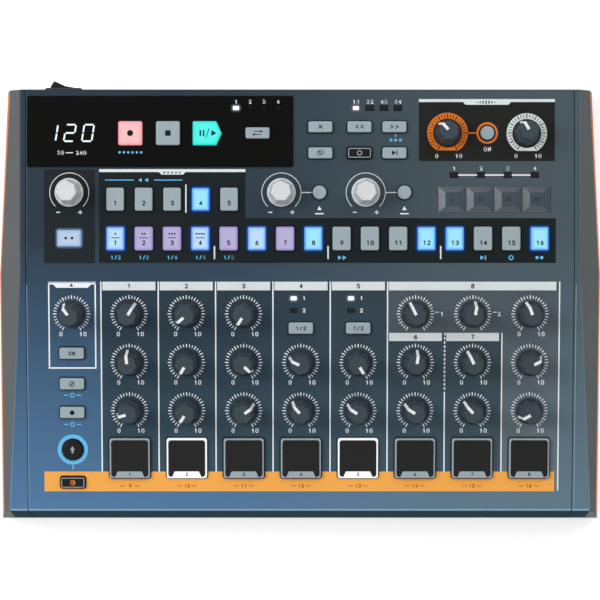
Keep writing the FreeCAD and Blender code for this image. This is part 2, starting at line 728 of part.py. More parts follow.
def make_switches():
    low = -BOARD_DEPTH
    high = low + SWITCH_HEIGHT
    housing = centred_box(SWITCH_WIDTH, SWITCH_WIDTH, low, high)
    housing = housing.cut(rod(KEY_STEM_R + RUNNING_GAP, high - SWITCH_BORE_DEPTH, high))
    switches = []
    for _, zone, x, d, kind, _ in key_list():
        switches.append(placed(housing, *key_centre(zone, x, d, kind)))
    sensor = rod(SENSOR_R, low, low + SENSOR_SHEET)
    for index in range(len(PADS)):
        switches.append(placed(sensor, SLOPE, column(index), PAD_D))
    return switches


def make_lamps():
    lamps = []
    for zone, x, d, lift in lamp_list():
        pipe = centred_box(LAMP[0], LAMP[1], -BOARD_DEPTH, lift + LAMP_PROUD)
        lamps.append(placed(pipe, zone, x, d))
    return lamps


def make_window():
    width, length = WINDOW_RIGHT - WINDOW_LEFT, WINDOW_REAR - WINDOW_FRONT
    sheet = rounded_block(width, length, KEY_CORNER_R, 0, WINDOW_SHEET)
    centre = ((WINDOW_LEFT + WINDOW_RIGHT) / 2.0, (WINDOW_FRONT + WINDOW_REAR) / 2.0)
    sheet = placed(sheet, FLAT, *centre)
    holes = []
    for _, zone, x, d, kind, size in key_list():
        holes.append(placed(key_block(kind, size, KEY_GAP, -SHEET, 2 * SHEET), zone, x, d))
    for zone, x, d, _ in lamp_list():
        hole = centred_box(LAMP[0] + 2 * LAMP_GAP, LAMP[1] + 2 * LAMP_GAP, -SHEET, 2 * SHEET)
        holes.append(placed(hole, zone, x, d))
    return sheet.cut(Part.makeCompound(holes))


def rectangle_wire(width, length, z):
    half_w, half_l = width / 2.0, length / 2.0
    points = [Vector(half_w, half_l, z), Vector(-half_w, half_l, z),
              Vector(-half_w, -half_l, z), Vector(half_w, -half_l, z)]
    return Part.makePolygon(points + points[:1])


def make_touch_strip():
    width, length = TOUCH_SIZE
    flange_top = -SHEET - KEY_FLANGE_GAP
    flange_low = flange_top - KEY_FLANGE_SHEET
    shapes = [centred_box(width, length, flange_low, 0),
              centred_box(width + 2 * KEY_FLANGE, length + 2 * KEY_FLANGE, flange_low, flange_top)]
    cell = width / TOUCH_CELLS
    for index in range(TOUCH_CELLS):
        base = rectangle_wire(cell, length, 0)
        flat = rectangle_wire(TOUCH_FLAT[0], TOUCH_FLAT[1], TOUCH_RISE)
        hill = Part.makeLoft([base, flat], True, True)
        hill.translate(Vector((index - (TOUCH_CELLS - 1) / 2.0) * cell, 0, 0))
        shapes.append(hill)
    for side in (-1, 1):
        post = rod(SPACER_R, -BOARD_DEPTH, flange_low)
        post.translate(Vector(side * (width / 2.0 - SPACER_R), 0, 0))
        shapes.append(post)
    return placed(fused(shapes), FLAT, *TOUCH_CENTRE)


def make_fasteners():
    """Case screws, and the spacers that they run through between the base and the boards."""
    floor_z = FOOT_HEIGHT + BASE_FLOOR
    head_top = FOOT_HEIGHT + SCREW_HEAD_HEIGHT
    size = 2 * CASE_WIDTH
    pieces = []
    for x, y in PLATE_SCREWS:
        zone = FLAT if y > FOLD_Y else SLOPE
        below_board = placed(centred_box(size, size, -size, -BOARD_DEPTH - BOARD_SHEET), zone, 0, 0)
        above_board = placed(centred_box(size, size, -BOARD_DEPTH, -SHEET), zone, 0, 0)
        spacer = Part.makeCylinder(SPACER_R, TOP_Z, Vector(x, y, floor_z), UP)
        lower = spacer.common(below_board)
        upper = spacer.common(above_board)
        screw_top = upper.BoundBox.ZMin + SCREW_BITE
        shank = Part.makeCylinder(SCREW_R, screw_top - head_top, Vector(x, y, head_top), UP)
        around = Part.makeCylinder(SCREW_R, screw_top, Vector(x, y, 0), UP)
        head = Part.makeCylinder(SCREW_HEAD_R, SCREW_HEAD_HEIGHT, Vector(x, y, FOOT_HEIGHT), UP)
        pieces += [lower.cut(around), upper.cut(around), head.fuse(shank)]
    for side in (-1, 1):
        for y in CHEEK_SCREW_YS:
            x = side * CHEEK_SCREW_X
            length = RIM_TOP_Z + CHEEK_SCREW_BITE - head_top
            shank = Part.makeCylinder(SCREW_R, length, Vector(x, y, head_top), UP)
            head = Part.makeCylinder(SCREW_HEAD_R, SCREW_HEAD_HEIGHT,
                                     Vector(x, y, FOOT_HEIGHT), UP)
            pieces.append(head.fuse(shank))
    return pieces


# What the player moves

def heptagon(radius, z):
    points = []
    for index in range(KNOB_FACES):
        angle = 2 * math.pi * index / KNOB_FACES
        points.append(Vector(radius * math.sin(angle), radius * math.cos(angle), z))
    return Part.makePolygon(points + points[:1])


def make_knob(skirt_r, waist_r, top_r, pointer_deg):
    """A knob and its shaft: a flared round skirt under a seven-sided tapering grip."""
    skirt_top = KNOB_LIFT + SKIRT_RISE
    flare_top = KNOB_LIFT + FLARE_RISE
    section = [(0, 0, KNOB_LIFT), (skirt_r, 0, KNOB_LIFT), (skirt_r, 0, skirt_top),
               (waist_r, 0, flare_top), (0, 0, flare_top)]
    wire = Part.makePolygon([Vector(*point) for point in section + section[:1]])
    skirt = Part.Face(wire).revolve(Vector(0, 0, 0), UP, 360)
    ends = [heptagon(skirt_r - GRIP_INSET, skirt_top), heptagon(top_r, KNOB_TOP)]
    grip = Part.makeLoft(ends, True, True)
    shaft_top = KNOB_LIFT + SHAFT_IN_KNOB
    cap = fused([skirt, grip]).cut(rod(SHAFT_R, 0, shaft_top))
    bore_floor = -BOARD_DEPTH + POT_HEIGHT - POT_BORE_DEPTH
    shaft = rod(SHAFT_R, bore_floor + SHAFT_END_GAP, shaft_top)
    for piece in (cap, shaft):
        piece.rotate(Vector(0, 0, 0), UP, -pointer_deg)
    return [cap, shaft]


def soften_top(block, radius, high):
    top = [edge for edge in block.Edges if edge.BoundBox.ZMin > high - radius]
    return block.makeFillet(radius, top)


def make_key(kind, size, proud):
    """A key cap with the flange that holds it under the panel, in the panel's own frame."""
    flange_top = -SHEET - KEY_FLANGE_GAP
    flange_low = flange_top - KEY_FLANGE_SHEET
    cap = soften_top(key_block(kind, size, 0, flange_top, proud), KEY_EDGE_R, proud)
    flange = key_block(kind, size, KEY_FLANGE, flange_low, flange_top)
    return cap, flange, flange_low


def make_pushed_key(kind, size, proud):
    cap, flange, flange_low = make_key(kind, size, proud)
    bore_floor = -BOARD_DEPTH + SWITCH_HEIGHT - SWITCH_BORE_DEPTH
    stem = rod(KEY_STEM_R, bore_floor + KEY_STEM_END_GAP + KEY_TRAVEL, flange_low)
    if kind == "arrow":
        stem.translate(Vector((PLAY_LEFT + PLAY_SHOULDER) / 2.0, 0, 0))
    return fused([cap, flange, stem])


def make_pad():
    cap, flange, flange_low = make_key("square", (PAD_SIZE, PAD_SIZE), PAD_PROUD)
    boss_low = -BOARD_DEPTH + SENSOR_SHEET + SENSOR_GAP
    return fused([cap, flange, rod(PAD_BOSS_R, boss_low, flange_low)])


def key_groups():
    """The keys of each group, with those on the window standing higher by its sheet."""
    groups = {}
    for group, zone, x, d, kind, size in key_list():
        on_window = zone == FLAT and d > WINDOW_FRONT and x < WINDOW_RIGHT
        lift = WINDOW_SHEET if on_window or kind == "arrow" else 0.0
        key = make_pushed_key(kind, size, KEY_PROUD + lift)
        groups.setdefault(group, []).append(placed(key, zone, x, d))
    return groups


# Rear panel and what it carries

def along_y(radius, x, z, y_low, y_high):
    return Part.makeCylinder(radius, y_high - y_low, Vector(x, y_low, z), Vector(0, 1, 0))


def block_xyz(width, x, y_low, y_high, z_low, z_high):
    return Part.makeBox(width, y_high - y_low, z_high - z_low,
                        Vector(x - width / 2.0, y_low, z_low))


def hex_nut(x, y_low, y_high, across):
    points = []
    for index in range(6):
        angle = math.radians(60 * index + 30)
        radius = across / math.sqrt(3.0)
        points.append((x + radius * math.cos(angle), y_low, AXIS_Z + radius * math.sin(angle)))
    return prism(points, (0, y_high - y_low, 0))


def make_jack(x, bore_r, bush_r, nut_across, body_size):
    """A panel jack: body behind the wall, threaded bush through it, and its nut outside."""
    inner_y = BAY_Y - REAR_WALL
    width, depth = body_size
    top_z = AXIS_Z + width / 2.0
    body = block_xyz(width, x, inner_y - depth, inner_y, JACK_BOARD_Z + BOARD_SHEET, top_z)
    bush = along_y(bush_r, x, AXIS_Z, inner_y, BAY_Y + JACK_REACH)
    bore = along_y(bore_r, x, AXIS_Z, inner_y - depth + JACK_BACK_WALL,
                   BAY_Y + JACK_REACH + CUT_PAST)
    jack = fused([body, bush]).cut(bore)
    nut = hex_nut(x, BAY_Y, BAY_Y + NUT_SHEET, nut_across)
    nut = nut.cut(along_y(bush_r, x, AXIS_Z, BAY_Y - CUT_PAST, BAY_Y + NUT_SHEET + CUT_PAST))
    return [jack, nut]


def make_audio_jacks():
    pieces = []
    for x in BIG_JACK_XS:
        pieces += make_jack(x, BIG_JACK_BORE_R, BIG_JACK_BUSH_R, BIG_JACK_NUT, BIG_JACK_BODY)
    return pieces


def make_din_socket(x):
    inner_y = BAY_Y - REAR_WALL
    width, depth = DIN_BODY
    body = block_xyz(width, x, inner_y - depth, inner_y,
                     JACK_BOARD_Z + BOARD_SHEET, AXIS_Z + width / 2.0)
    collar = along_y(DIN_COLLAR_R, x, AXIS_Z, inner_y, BAY_Y)
    floor_y = BAY_Y - DIN_BORE_DEPTH
    bore = along_y(DIN_BORE_R, x, AXIS_Z, floor_y, BAY_Y + CUT_PAST)
    socket = fused([body, collar]).cut(bore)
    pins = []
    for index in range(DIN_PIN_COUNT):
        angle = math.radians(180 + DIN_PIN_STEP_DEG * index)
        pin_x = x + DIN_PIN_CIRCLE_R * math.cos(angle)
        pin_z = AXIS_Z + DIN_PIN_CIRCLE_R * math.sin(angle)
        pins.append(along_y(DIN_PIN_R, pin_x, pin_z, floor_y - DIN_PIN_DEPTH, floor_y + CUT_PAST))
    return socket.cut(Part.makeCompound(pins))


def make_usb_socket():
    inner_y = BAY_Y - REAR_WALL
    width, depth = USB_BODY
    opening_w, opening_h = USB_OPENING
    body = block_xyz(width, USB_X, inner_y - depth, inner_y,
                     JACK_BOARD_Z + BOARD_SHEET, AXIS_Z + width / 2.0)
    half_snout = opening_h / 2.0 + USB_SHELL
    snout = block_xyz(opening_w + 2 * USB_SHELL, USB_X, inner_y, BAY_Y,
                      AXIS_Z - half_snout, AXIS_Z + half_snout)
    hollow = block_xyz(opening_w, USB_X, BAY_Y - USB_DEPTH, BAY_Y + CUT_PAST,
                       AXIS_Z - opening_h / 2.0, AXIS_Z + opening_h / 2.0)
    tongue_w, tongue_h = USB_TONGUE
    tongue = block_xyz(tongue_w, USB_X, BAY_Y - USB_DEPTH, BAY_Y - USB_TONGUE_START,
                       AXIS_Z - tongue_h / 2.0, AXIS_Z + tongue_h / 2.0)
    return fused([fused([body, snout]).cut(hollow), tongue])


def make_dc_socket():
    inner_y = BAY_Y - REAR_WALL
    width, depth = DC_BODY
    body = block_xyz(width, DC_X, inner_y - depth, inner_y,
                     JACK_BOARD_Z + BOARD_SHEET, AXIS_Z + width / 2.0)
    collar = along_y(DC_COLLAR_R, DC_X, AXIS_Z, inner_y, BAY_Y)
    step_y = BAY_Y - DC_BORE_DEPTH
    floor_y = step_y - DC_CHAMBER_DEPTH
    bore = along_y(DC_BORE_R, DC_X, AXIS_Z, step_y, BAY_Y + CUT_PAST)
    chamber = along_y(DC_CHAMBER_R, DC_X, AXIS_Z, floor_y, step_y + CUT_PAST)
    socket = fused([body, collar]).cut(bore).cut(chamber)
    pin = along_y(DC_PIN_R, DC_X, AXIS_Z, floor_y - DC_PIN_ROOT, floor_y + DC_PIN_LENGTH)
    return fused([socket, pin])


def rocker_centre():
    return Vector(SWITCH_X, ROCKER_PIVOT_Y, AXIS_Z)


def disc_about_pivot(radius, half_height):
    base = rocker_centre() - Vector(0, 0, half_height)
    return Part.makeCylinder(radius, 2 * half_height, base, UP)


def make_switch_housing():
    body_w, body_h = SWITCH_BODY
    bezel_w, bezel_h = SWITCH_BEZEL
    front = BAY_Y + SWITCH_BEZEL_SHEET
    body = block_xyz(body_w, SWITCH_X, BAY_Y - SWITCH_BODY_DEPTH, BAY_Y,
                     AXIS_Z - body_h / 2.0, AXIS_Z + body_h / 2.0)
    bezel = block_xyz(bezel_w, SWITCH_X, BAY_Y, front,
                      AXIS_Z - bezel_h / 2.0, AXIS_Z + bezel_h / 2.0)
    outer_edges = [e for e in bezel.Edges if e.BoundBox.YMin > front - SWITCH_BEZEL_CHAMFER]
    bezel = bezel.makeChamfer(SWITCH_BEZEL_CHAMFER, outer_edges)
    half = ROCKER_HEIGHT / 2.0 + ROCKER_GAP
    mouth = block_xyz(2 * (ROCKER_R + ROCKER_GAP), SWITCH_X, ROCKER_PIVOT_Y, front + CUT_PAST,
                      AXIS_Z - half, AXIS_Z + half)
    hollow = disc_about_pivot(ROCKER_R + ROCKER_GAP, half)
    trunnions = disc_about_pivot(TRUNNION_R + RUNNING_GAP, half + TRUNNION_LENGTH)
    return fused([body, bezel]).cut(hollow).cut(mouth).cut(trunnions)


def on_rocker(radius, degrees):
    angle = math.radians(degrees)
    x = SWITCH_X - radius * math.cos(angle)
    return (x, ROCKER_PIVOT_Y + radius * math.sin(angle), AXIS_Z - ROCKER_HEIGHT / 2.0)


def make_rocker():
    """The rocker lies pressed at its right end, with its left end standing out."""
    disc = disc_about_pivot(ROCKER_R, ROCKER_HEIGHT / 2.0)
    high = on_rocker(ROCKER_R, ROCKER_HIGH_DEG)
    low = on_rocker(ROCKER_R, 180.0 - ROCKER_LOW_DEG)
    tilt = (ROCKER_HIGH_DEG - ROCKER_LOW_DEG) / 2.0
    mean = math.radians((ROCKER_HIGH_DEG + ROCKER_LOW_DEG) / 2.0)
    middle = on_rocker(ROCKER_R * math.sin(mean) - ROCKER_DISH, 90.0 + tilt)
    far = on_rocker(3 * ROCKER_R, ROCKER_HIGH_DEG)
    far_low = on_rocker(3 * ROCKER_R, 180.0 - ROCKER_LOW_DEG)
    above = prism([high, far, far_low, low, middle], (0, 0, ROCKER_HEIGHT))
    cut_low = Part.makeBox(6 * ROCKER_R, 3 * ROCKER_R, ROCKER_HEIGHT,
                           Vector(-3 * ROCKER_R, -3 * ROCKER_R - ROCKER_DEPTH_BELOW, 0))
    cut_low.rotate(Vector(0, 0, 0), UP, -tilt)
    cut_low.translate(rocker_centre() - Vector(0, 0, ROCKER_HEIGHT / 2.0))
    rocker = disc.cut(above).cut(cut_low)
    half = ROCKER_HEIGHT / 2.0 + ROCKER_GAP + TRUNNION_LENGTH - TRUNNION_END_GAP
    return fused([rocker, disc_about_pivot(TRUNNION_R, half)])


def make_rear_panel():
    inner_y = BAY_Y - REAR_WALL
    slab = Part.makeBox(2 * PLATE_HALF_WIDTH, REAR_Y - inner_y, TOP_Z - SHEET - RIM_TOP_Z,
                        Vector(-PLATE_HALF_WIDTH, inner_y, RIM_TOP_Z))
    wall = slab.common(profile_block(0))
    bay = Part.makeBox(2 * BAY_HALF_WIDTH, REAR_Y, BAY_TOP_Z - BAY_BOTTOM_Z,
                       Vector(-BAY_HALF_WIDTH, BAY_Y, BAY_BOTTOM_Z))
    holes = []
    y_low, y_high = inner_y - CUT_PAST, BAY_Y + CUT_PAST
    for x in BIG_JACK_XS:
        holes.append(along_y(BIG_JACK_BUSH_R + PANEL_HOLE_GAP, x, AXIS_Z, y_low, y_high))
    for x in SMALL_JACK_XS:
        holes.append(along_y(SMALL_JACK_BUSH_R + PANEL_HOLE_GAP, x, AXIS_Z, y_low, y_high))
    for x in DIN_XS:
        holes.append(along_y(DIN_COLLAR_R + PANEL_HOLE_GAP, x, AXIS_Z, y_low, y_high))
    holes.append(along_y(DC_COLLAR_R + PANEL_HOLE_GAP, DC_X, AXIS_Z, y_low, y_high))
    half_w, half_h = [size / 2.0 + USB_SHELL + PANEL_HOLE_GAP for size in USB_OPENING]
    holes.append(block_xyz(2 * half_w, USB_X, y_low, y_high, AXIS_Z - half_h, AXIS_Z + half_h))
    body_w, body_h = SWITCH_BODY
    holes.append(block_xyz(body_w + 2 * PANEL_HOLE_GAP, SWITCH_X, y_low, y_high,
                           AXIS_Z - body_h / 2.0 - PANEL_HOLE_GAP,
                           AXIS_Z + body_h / 2.0 + PANEL_HOLE_GAP))
    return wall.cut(bay).cut(Part.makeCompound(holes))


def make_power_and_data():
    pieces = [make_switch_housing(), make_dc_socket(), make_usb_socket()]
    pieces += [make_din_socket(x) for x in DIN_XS]
    for x in SMALL_JACK_XS:
        pieces += make_jack(x, SMALL_JACK_BORE_R, SMALL_JACK_BUSH_R, SMALL_JACK_NUT,
                            SMALL_JACK_BODY)
    return pieces


def export_case():
    panel = make_top_panel()
    trim = make_trim(0)
    cheek = make_cheek(panel[1])
    export("top_panel", panel)
    export("side_cheeks", [cheek, mirrored(cheek)])
    export("side_trims", [trim, mirrored(trim)])
    export("base_shell", [make_base_shell()])
    export("rear_panel", [make_rear_panel()])
    export("rubber_feet", make_feet())
    export("case_fasteners", make_fasteners())


def export_inside():
    export("circuit_boards", make_boards())
    export("potentiometers", make_pots())
    export("key_switches", make_switches())
    export("indicator_lights", make_lamps())
    export("display_window", [make_window()])
    export("touch_strip", [make_touch_strip()])
    export("audio_jacks", make_audio_jacks())
    export("power_and_data_sockets", make_power_and_data())


def export_controls():
    for name, (zone, x, d, pointer) in POT_KNOBS.items():
        knob = make_knob(KNOB_SKIRT_R, KNOB_WAIST_R, KNOB_TOP_R, pointer)
        export(name, [placed(piece, zone, x, d) for piece in knob])
    for name, (zone, x, d, pointer) in ENCODER_KNOBS.items():
        knob = make_knob(ENCODER_SKIRT_R, ENCODER_WAIST_R, ENCODER_TOP_R, pointer)
        export(name, [placed(piece, zone, x, d) for piece in knob])
    for index, name in enumerate(PADS):
        export(name, [placed(make_pad(), SLOPE, column(index), PAD_D)])
    for name, keys in key_groups().items():
        export(name, keys)
    export("power_rocker", [make_rocker()])


export_case()
export_inside()
export_controls()
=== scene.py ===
"""Looks of a tabletop drum machine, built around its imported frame.

Lengths are in millimetres until a mesh is finished. The panel has two zones, each with its own
plane: on the level zone a point is (x, y), and on the slope it is (x, minus the distance down
from the fold). Bearings on a dial are degrees clockwise from the rear.
"""
import json
import math

import bpy
from mathutils import Matrix, Vector


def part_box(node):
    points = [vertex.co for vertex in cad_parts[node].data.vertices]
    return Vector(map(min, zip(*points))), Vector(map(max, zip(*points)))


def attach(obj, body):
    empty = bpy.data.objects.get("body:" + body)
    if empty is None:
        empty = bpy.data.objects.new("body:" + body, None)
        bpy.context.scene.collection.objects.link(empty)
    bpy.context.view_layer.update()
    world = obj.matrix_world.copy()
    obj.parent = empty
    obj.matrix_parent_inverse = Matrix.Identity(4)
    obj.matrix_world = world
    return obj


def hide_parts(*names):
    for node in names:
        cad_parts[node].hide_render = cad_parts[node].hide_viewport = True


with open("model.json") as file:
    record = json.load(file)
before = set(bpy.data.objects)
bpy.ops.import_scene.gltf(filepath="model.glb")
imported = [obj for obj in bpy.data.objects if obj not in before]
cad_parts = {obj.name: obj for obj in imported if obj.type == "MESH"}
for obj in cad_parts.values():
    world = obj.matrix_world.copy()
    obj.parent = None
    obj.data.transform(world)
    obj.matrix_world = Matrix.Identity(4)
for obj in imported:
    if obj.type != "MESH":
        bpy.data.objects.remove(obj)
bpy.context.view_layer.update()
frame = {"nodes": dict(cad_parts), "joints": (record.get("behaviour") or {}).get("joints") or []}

MM = 0.001


def node_box(node):
    """A node's lowest and highest corners in millimetres."""
    return [Vector(corner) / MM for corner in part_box(node)]


# Planes of the panel, from the frame
PANEL_Z = node_box("display_window")[0].z
WINDOW_Z = node_box("display_window")[1].z
KEY_TOP = node_box("step_keys")[1].z - PANEL_Z
WINDOW_KEY_TOP = node_box("record_button")[1].z - PANEL_Z
FOLD_Y = 14.0
SLOPE_DEG = 5.0

ZONES = {
    "level": Matrix.Translation((0, 0, PANEL_Z)),
    "window": Matrix.Translation((0, 0, WINDOW_Z)),
    "slope": Matrix.Translation((0, FOLD_Y, PANEL_Z)) @ Matrix.Rotation(math.radians(SLOPE_DEG), 4, "X"),
    "world": Matrix.Identity(4),
}

# How far printed layers stand above what they are printed on
GROUND_LIFT = 0.02
INK_LIFT = 0.05
GAP_LIFT = 0.07
TEXT_LIFT = 0.08

# Dials and knobs
DIAL_SWEEP = 300.0
TICK_COUNT = 31
TICK_MIDDLE_R = 8.65
TICK_LENGTHS = (1.5, 1.95)
TICK_WIDTHS = (0.44, 0.5)
KNOB_LIFT = 0.7
GRIP_BASE = 1.2
KNOB_TOP = 14.88
POINTER_TOP = 14.98
POINTER_WIDTH = 1.5
KNOB_SKIRT_R = 6.8
KNOB_WAIST_R = 5.9
KNOB_TOP_R = 4.9
KNOB_RADII = (KNOB_SKIRT_R, KNOB_WAIST_R, KNOB_TOP_R)
ENCODER_RADII = (7.3, 6.3, 5.2)
KNOB_FACES = 7
SKIRT_STEPS = 56
FLARE_STEPS = 5
FLARE_RISE = 1.9

# Keys and pads
KEY_LOW = -2.0
KEY_CORNER_R = 1.2
KEY_MARGIN = 0.22
PAD_MARGIN = 0.35
GAP_REACH = 0.3
STEP_KEY = (9.7, 12.5)
STEP_FIRST_X = -94.0
STEP_PITCH = 14.4
STEP_Y = 32.0
MODE_KEY = (9.4, 12.2)
MODE_FIRST_X = -94.1
MODE_PITCH = 14.5
MODE_Y = 52.0
SMALL_KEY = (12.7, 6.1)
CHANNEL_KEY = (13.0, 6.3)
TAP_KEY = (12.8, 9.1)
TRANSPORT_SIZE = 12.6
TRANSPORT_Y = 85.6
RECORD_X = -86.4
STOP_X = -67.2
PLAY_LEFT = -54.8
PLAY_SHOULDER = -42.5
PLAY_TIP = -39.6
LEFT_COLUMN_X = -116.6
COLUMN_FIRST_X = -87.3
COLUMN_PITCH = 29.25
PAD_SIZE = 21.3
PAD_Y = -94.7
PAD_PROUD = 2.6
PAD_FRAME = 1.2
PAD_NAMES = ("kick_pad", "snare_1_pad", "snare_2_pad", "tom_pad",
             "cymbal_pad", "closed_hat_pad", "open_hat_pad", "fm_drum_pad")
LIT_PADS = (1, 4)
LIT_MODE = 3

# How each step key is lit: pale blue, violet, cyan or grey
STEP_STATES = "pvvpvpvcgggccggc"
LAMP = (4.1, 2.7)
LENS = (3.2, 2.1)
LAMP_PROUD = 0.28

# Colours as they look on the object, 0 to 255. A tone has four: rear left, rear right, front
# left and front right. Its slow change across the panel, bluer towards the front left, is
# painted reflection of the studio's light on the paint's own colour
PANEL_PAINTED_LIGHT = ((43, 58, 70), (76, 90, 97), (84, 125, 165), (102, 128, 143))
# Painted shade: the front wall, which the light only grazes, is painted darker than the top
FRONT_WALL_SHADE = (60, 80, 91)
COLUMN_PAINTED_LIGHT = ((40, 56, 68), (50, 63, 70), (60, 85, 99), (74, 95, 107))
WIDE_COLUMN_PAINTED_LIGHT = ((62, 77, 84), (72, 84, 90), (78, 96, 104), (112, 126, 134))
GREY_KEY = (160, 175, 182)
WHITE_INK = (226, 233, 234)
LINE_INK = (250, 253, 255)
BLUE_INK = (108, 198, 244)
ORANGE = (255, 178, 84)
LIT_BLUE = (48, 134, 255)
LIT_PALE = (190, 224, 252)
LIT_CYAN = (160, 232, 255)
VIOLET = (184, 178, 216)


def linear(colour):
    """A screen colour of 0 to 255 as the linear values that shaders use."""
    parts = [value / 255 for value in colour]
    return [p / 12.92 if p <= 0.04045 else ((p + 0.055) / 1.055) ** 2.4 for p in parts] + [1.0]


# Shader node groups that several finishes share

def new_group(name, inputs, outputs):
    group = bpy.data.node_groups.new(name, "ShaderNodeTree")
    for label, kind, value in inputs:
        socket = group.interface.new_socket(label, in_out="INPUT", socket_type=kind)
        if value is not None:
            socket.default_value = value
    for label, kind in outputs:
        group.interface.new_socket(label, in_out="OUTPUT", socket_type=kind)
    return group, group.nodes.new("NodeGroupInput"), group.nodes.new("NodeGroupOutput")


def math_node(tree, operation, first, second, third=None):
    node = tree.nodes.new("ShaderNodeMath")
    node.operation = operation
    for socket, value in zip(node.inputs, (first, second, third)):
        if value is None:
            continue
        if isinstance(value, (int, float)):
            socket.default_value = value
        else:
            tree.links.new(value, socket)
    return node.outputs[0]


def mix_colours(tree, factor, first, second):
    node = tree.nodes.new("ShaderNodeMix")
    node.data_type = "RGBA"
    colour_inputs = [socket for socket in node.inputs if socket.type == "RGBA"]
    tree.links.new(factor, node.inputs[0])
    for socket, value in zip(colour_inputs, (first, second)):
        if isinstance(value, (list, tuple)):
            socket.default_value = value
        else:
            tree.links.new(value, socket)
    return [socket for socket in node.outputs if socket.type == "RGBA"][0]


def in_millimetres(tree, vector):
    node = tree.nodes.new("ShaderNodeVectorMath")
    node.operation = "SCALE"
    node.inputs["Scale"].default_value = 1 / MM
    tree.links.new(vector, node.inputs[0])
    return node.outputs[0]


def noise(tree, vector, scale, detail=3.0):
    node = tree.nodes.new("ShaderNodeTexNoise")
    node.inputs["Detail"].default_value = detail
    tree.links.new(vector, node.inputs["Vector"])
    if isinstance(scale, (int, float)):
        node.inputs["Scale"].default_value = scale
    else:
        tree.links.new(scale, node.inputs["Scale"])
    return node.outputs["Fac"]


SURFACE_OUTPUTS = [("Color", "NodeSocketColor"), ("Roughness", "NodeSocketFloat"),
                   ("Normal", "NodeSocketVector")]


def set_surface(group, source, sink, pattern, change, roughness, depth):
    """Feed a group's outputs from a pattern that tints and bumps the surface."""
    link = group.links.new
    tint = group.nodes.new("ShaderNodeHueSaturation")
    link(math_node(group, "MULTIPLY_ADD", centred(group, pattern), change, 1.0),
         tint.inputs["Value"])
    link(source.outputs["Color"], tint.inputs["Color"])
    link(tint.outputs[0], sink.inputs["Color"])
    link(roughness, sink.inputs["Roughness"])
    bump = group.nodes.new("ShaderNodeBump")
    link(math_node(group, "MULTIPLY", depth, MM), bump.inputs["Distance"])
    link(pattern, bump.inputs["Height"])
    link(bump.outputs["Normal"], sink.inputs["Normal"])


def centred(tree, value):
    return math_node(tree, "SUBTRACT", value, 0.5)


def build_grain_group():
    """Fine surface grain with broad handling marks, for moulded, painted and rubber surfaces."""
    inputs = [("Vector", "NodeSocketVector", None), ("Color", "NodeSocketColor", None),
              ("Grain Scale", "NodeSocketFloat", 3.0), ("Color Change", "NodeSocketFloat", 0.1),
              ("Roughness", "NodeSocketFloat", 0.5), ("Mark Strength", "NodeSocketFloat", 0.1),
              ("Grain Depth", "NodeSocketFloat", 0.02)]
    group, source, sink = new_group("surface_grain", inputs, SURFACE_OUTPUTS)
    place = in_millimetres(group, source.outputs["Vector"])
    fine = noise(group, place, source.outputs["Grain Scale"])
    broad = noise(group, place, 0.035, detail=4.0)
    rough = math_node(group, "MULTIPLY_ADD", centred(group, broad), source.outputs["Mark Strength"],
                      source.outputs["Roughness"])
    set_surface(group, source, sink, fine, source.outputs["Color Change"], rough,
                source.outputs["Grain Depth"])
    return group


# Where the painted light is set: the four corners, then the front wall's painted shade
PAINTED_LIGHT_PLACES = ("Rear Left", "Rear Right", "Front Left", "Front Right", "Front Wall Shade")

# Where the painted light starts and ends its change: across, along, and from the slope to the
# front wall's painted shade
PAINTED_LIGHT_ACROSS = (-70.0, 130.0)
PAINTED_LIGHT_ALONG = (32.0, -105.0)
WALL_SHADE_SPAN = (-107.5, -107.9)


def build_painted_light_group():
    """Painted light on the panel paint, a slow change of colour, with painted shade on the front wall.
    """
    inputs = [("Vector", "NodeSocketVector", None)]
    inputs += [(label, "NodeSocketColor", None) for label in PAINTED_LIGHT_PLACES]
    group, source, sink = new_group("panel_painted_light", inputs, [("Color", "NodeSocketColor"),
                                                           ("Wall", "NodeSocketFloat")])
    split = group.nodes.new("ShaderNodeSeparateXYZ")
    group.links.new(in_millimetres(group, source.outputs["Vector"]), split.inputs[0])

    def ramp(value, low, high, kind):
        node = group.nodes.new("ShaderNodeMapRange")
        node.interpolation_type = kind
        node.inputs["From Min"].default_value = low
        node.inputs["From Max"].default_value = high
        group.links.new(value, node.inputs["Value"])
        return node.outputs["Result"]

    across = ramp(split.outputs["X"], *PAINTED_LIGHT_ACROSS, "SMOOTHSTEP")
    along = ramp(split.outputs["Y"], *PAINTED_LIGHT_ALONG, "LINEAR")
    rear = mix_colours(group, across, source.outputs["Rear Left"], source.outputs["Rear Right"])
    front = mix_colours(group, across, source.outputs["Front Left"], source.outputs["Front Right"])
    top = mix_colours(group, along, rear, front)
    # Painted shade on the front wall
    wall = ramp(split.outputs["Y"], *WALL_SHADE_SPAN, "LINEAR")
    group.links.new(mix_colours(group, wall, top, source.outputs["Front Wall Shade"]),
                    sink.inputs["Color"])
    group.links.new(wall, sink.inputs["Wall"])
    return group


def build_brushed_group():
    """Fine turned or drawn lines on metal."""
    inputs = [("Vector", "NodeSocketVector", None), ("Color", "NodeSocketColor", None),
              ("Roughness", "NodeSocketFloat", 0.3)]
    group, source, sink = new_group("drawn_metal", inputs, SURFACE_OUTPUTS)
    stretch = group.nodes.new("ShaderNodeMapping")
    stretch.inputs["Scale"].default_value = (0.3, 6.0, 6.0)
    group.links.new(in_millimetres(group, source.outputs["Vector"]), stretch.inputs["Vector"])
    lines = noise(group, stretch.outputs[0], 1.5)
    rough = math_node(group, "MULTIPLY_ADD", centred(group, lines), 0.2,
                      source.outputs["Roughness"])
    set_surface(group, source, sink, lines, 0.25, rough, 0.01)
    return group


GRAIN = build_grain_group()
PAINTED_LIGHT_GROUP = build_painted_light_group()
DRAWN = build_brushed_group()


# Finishes

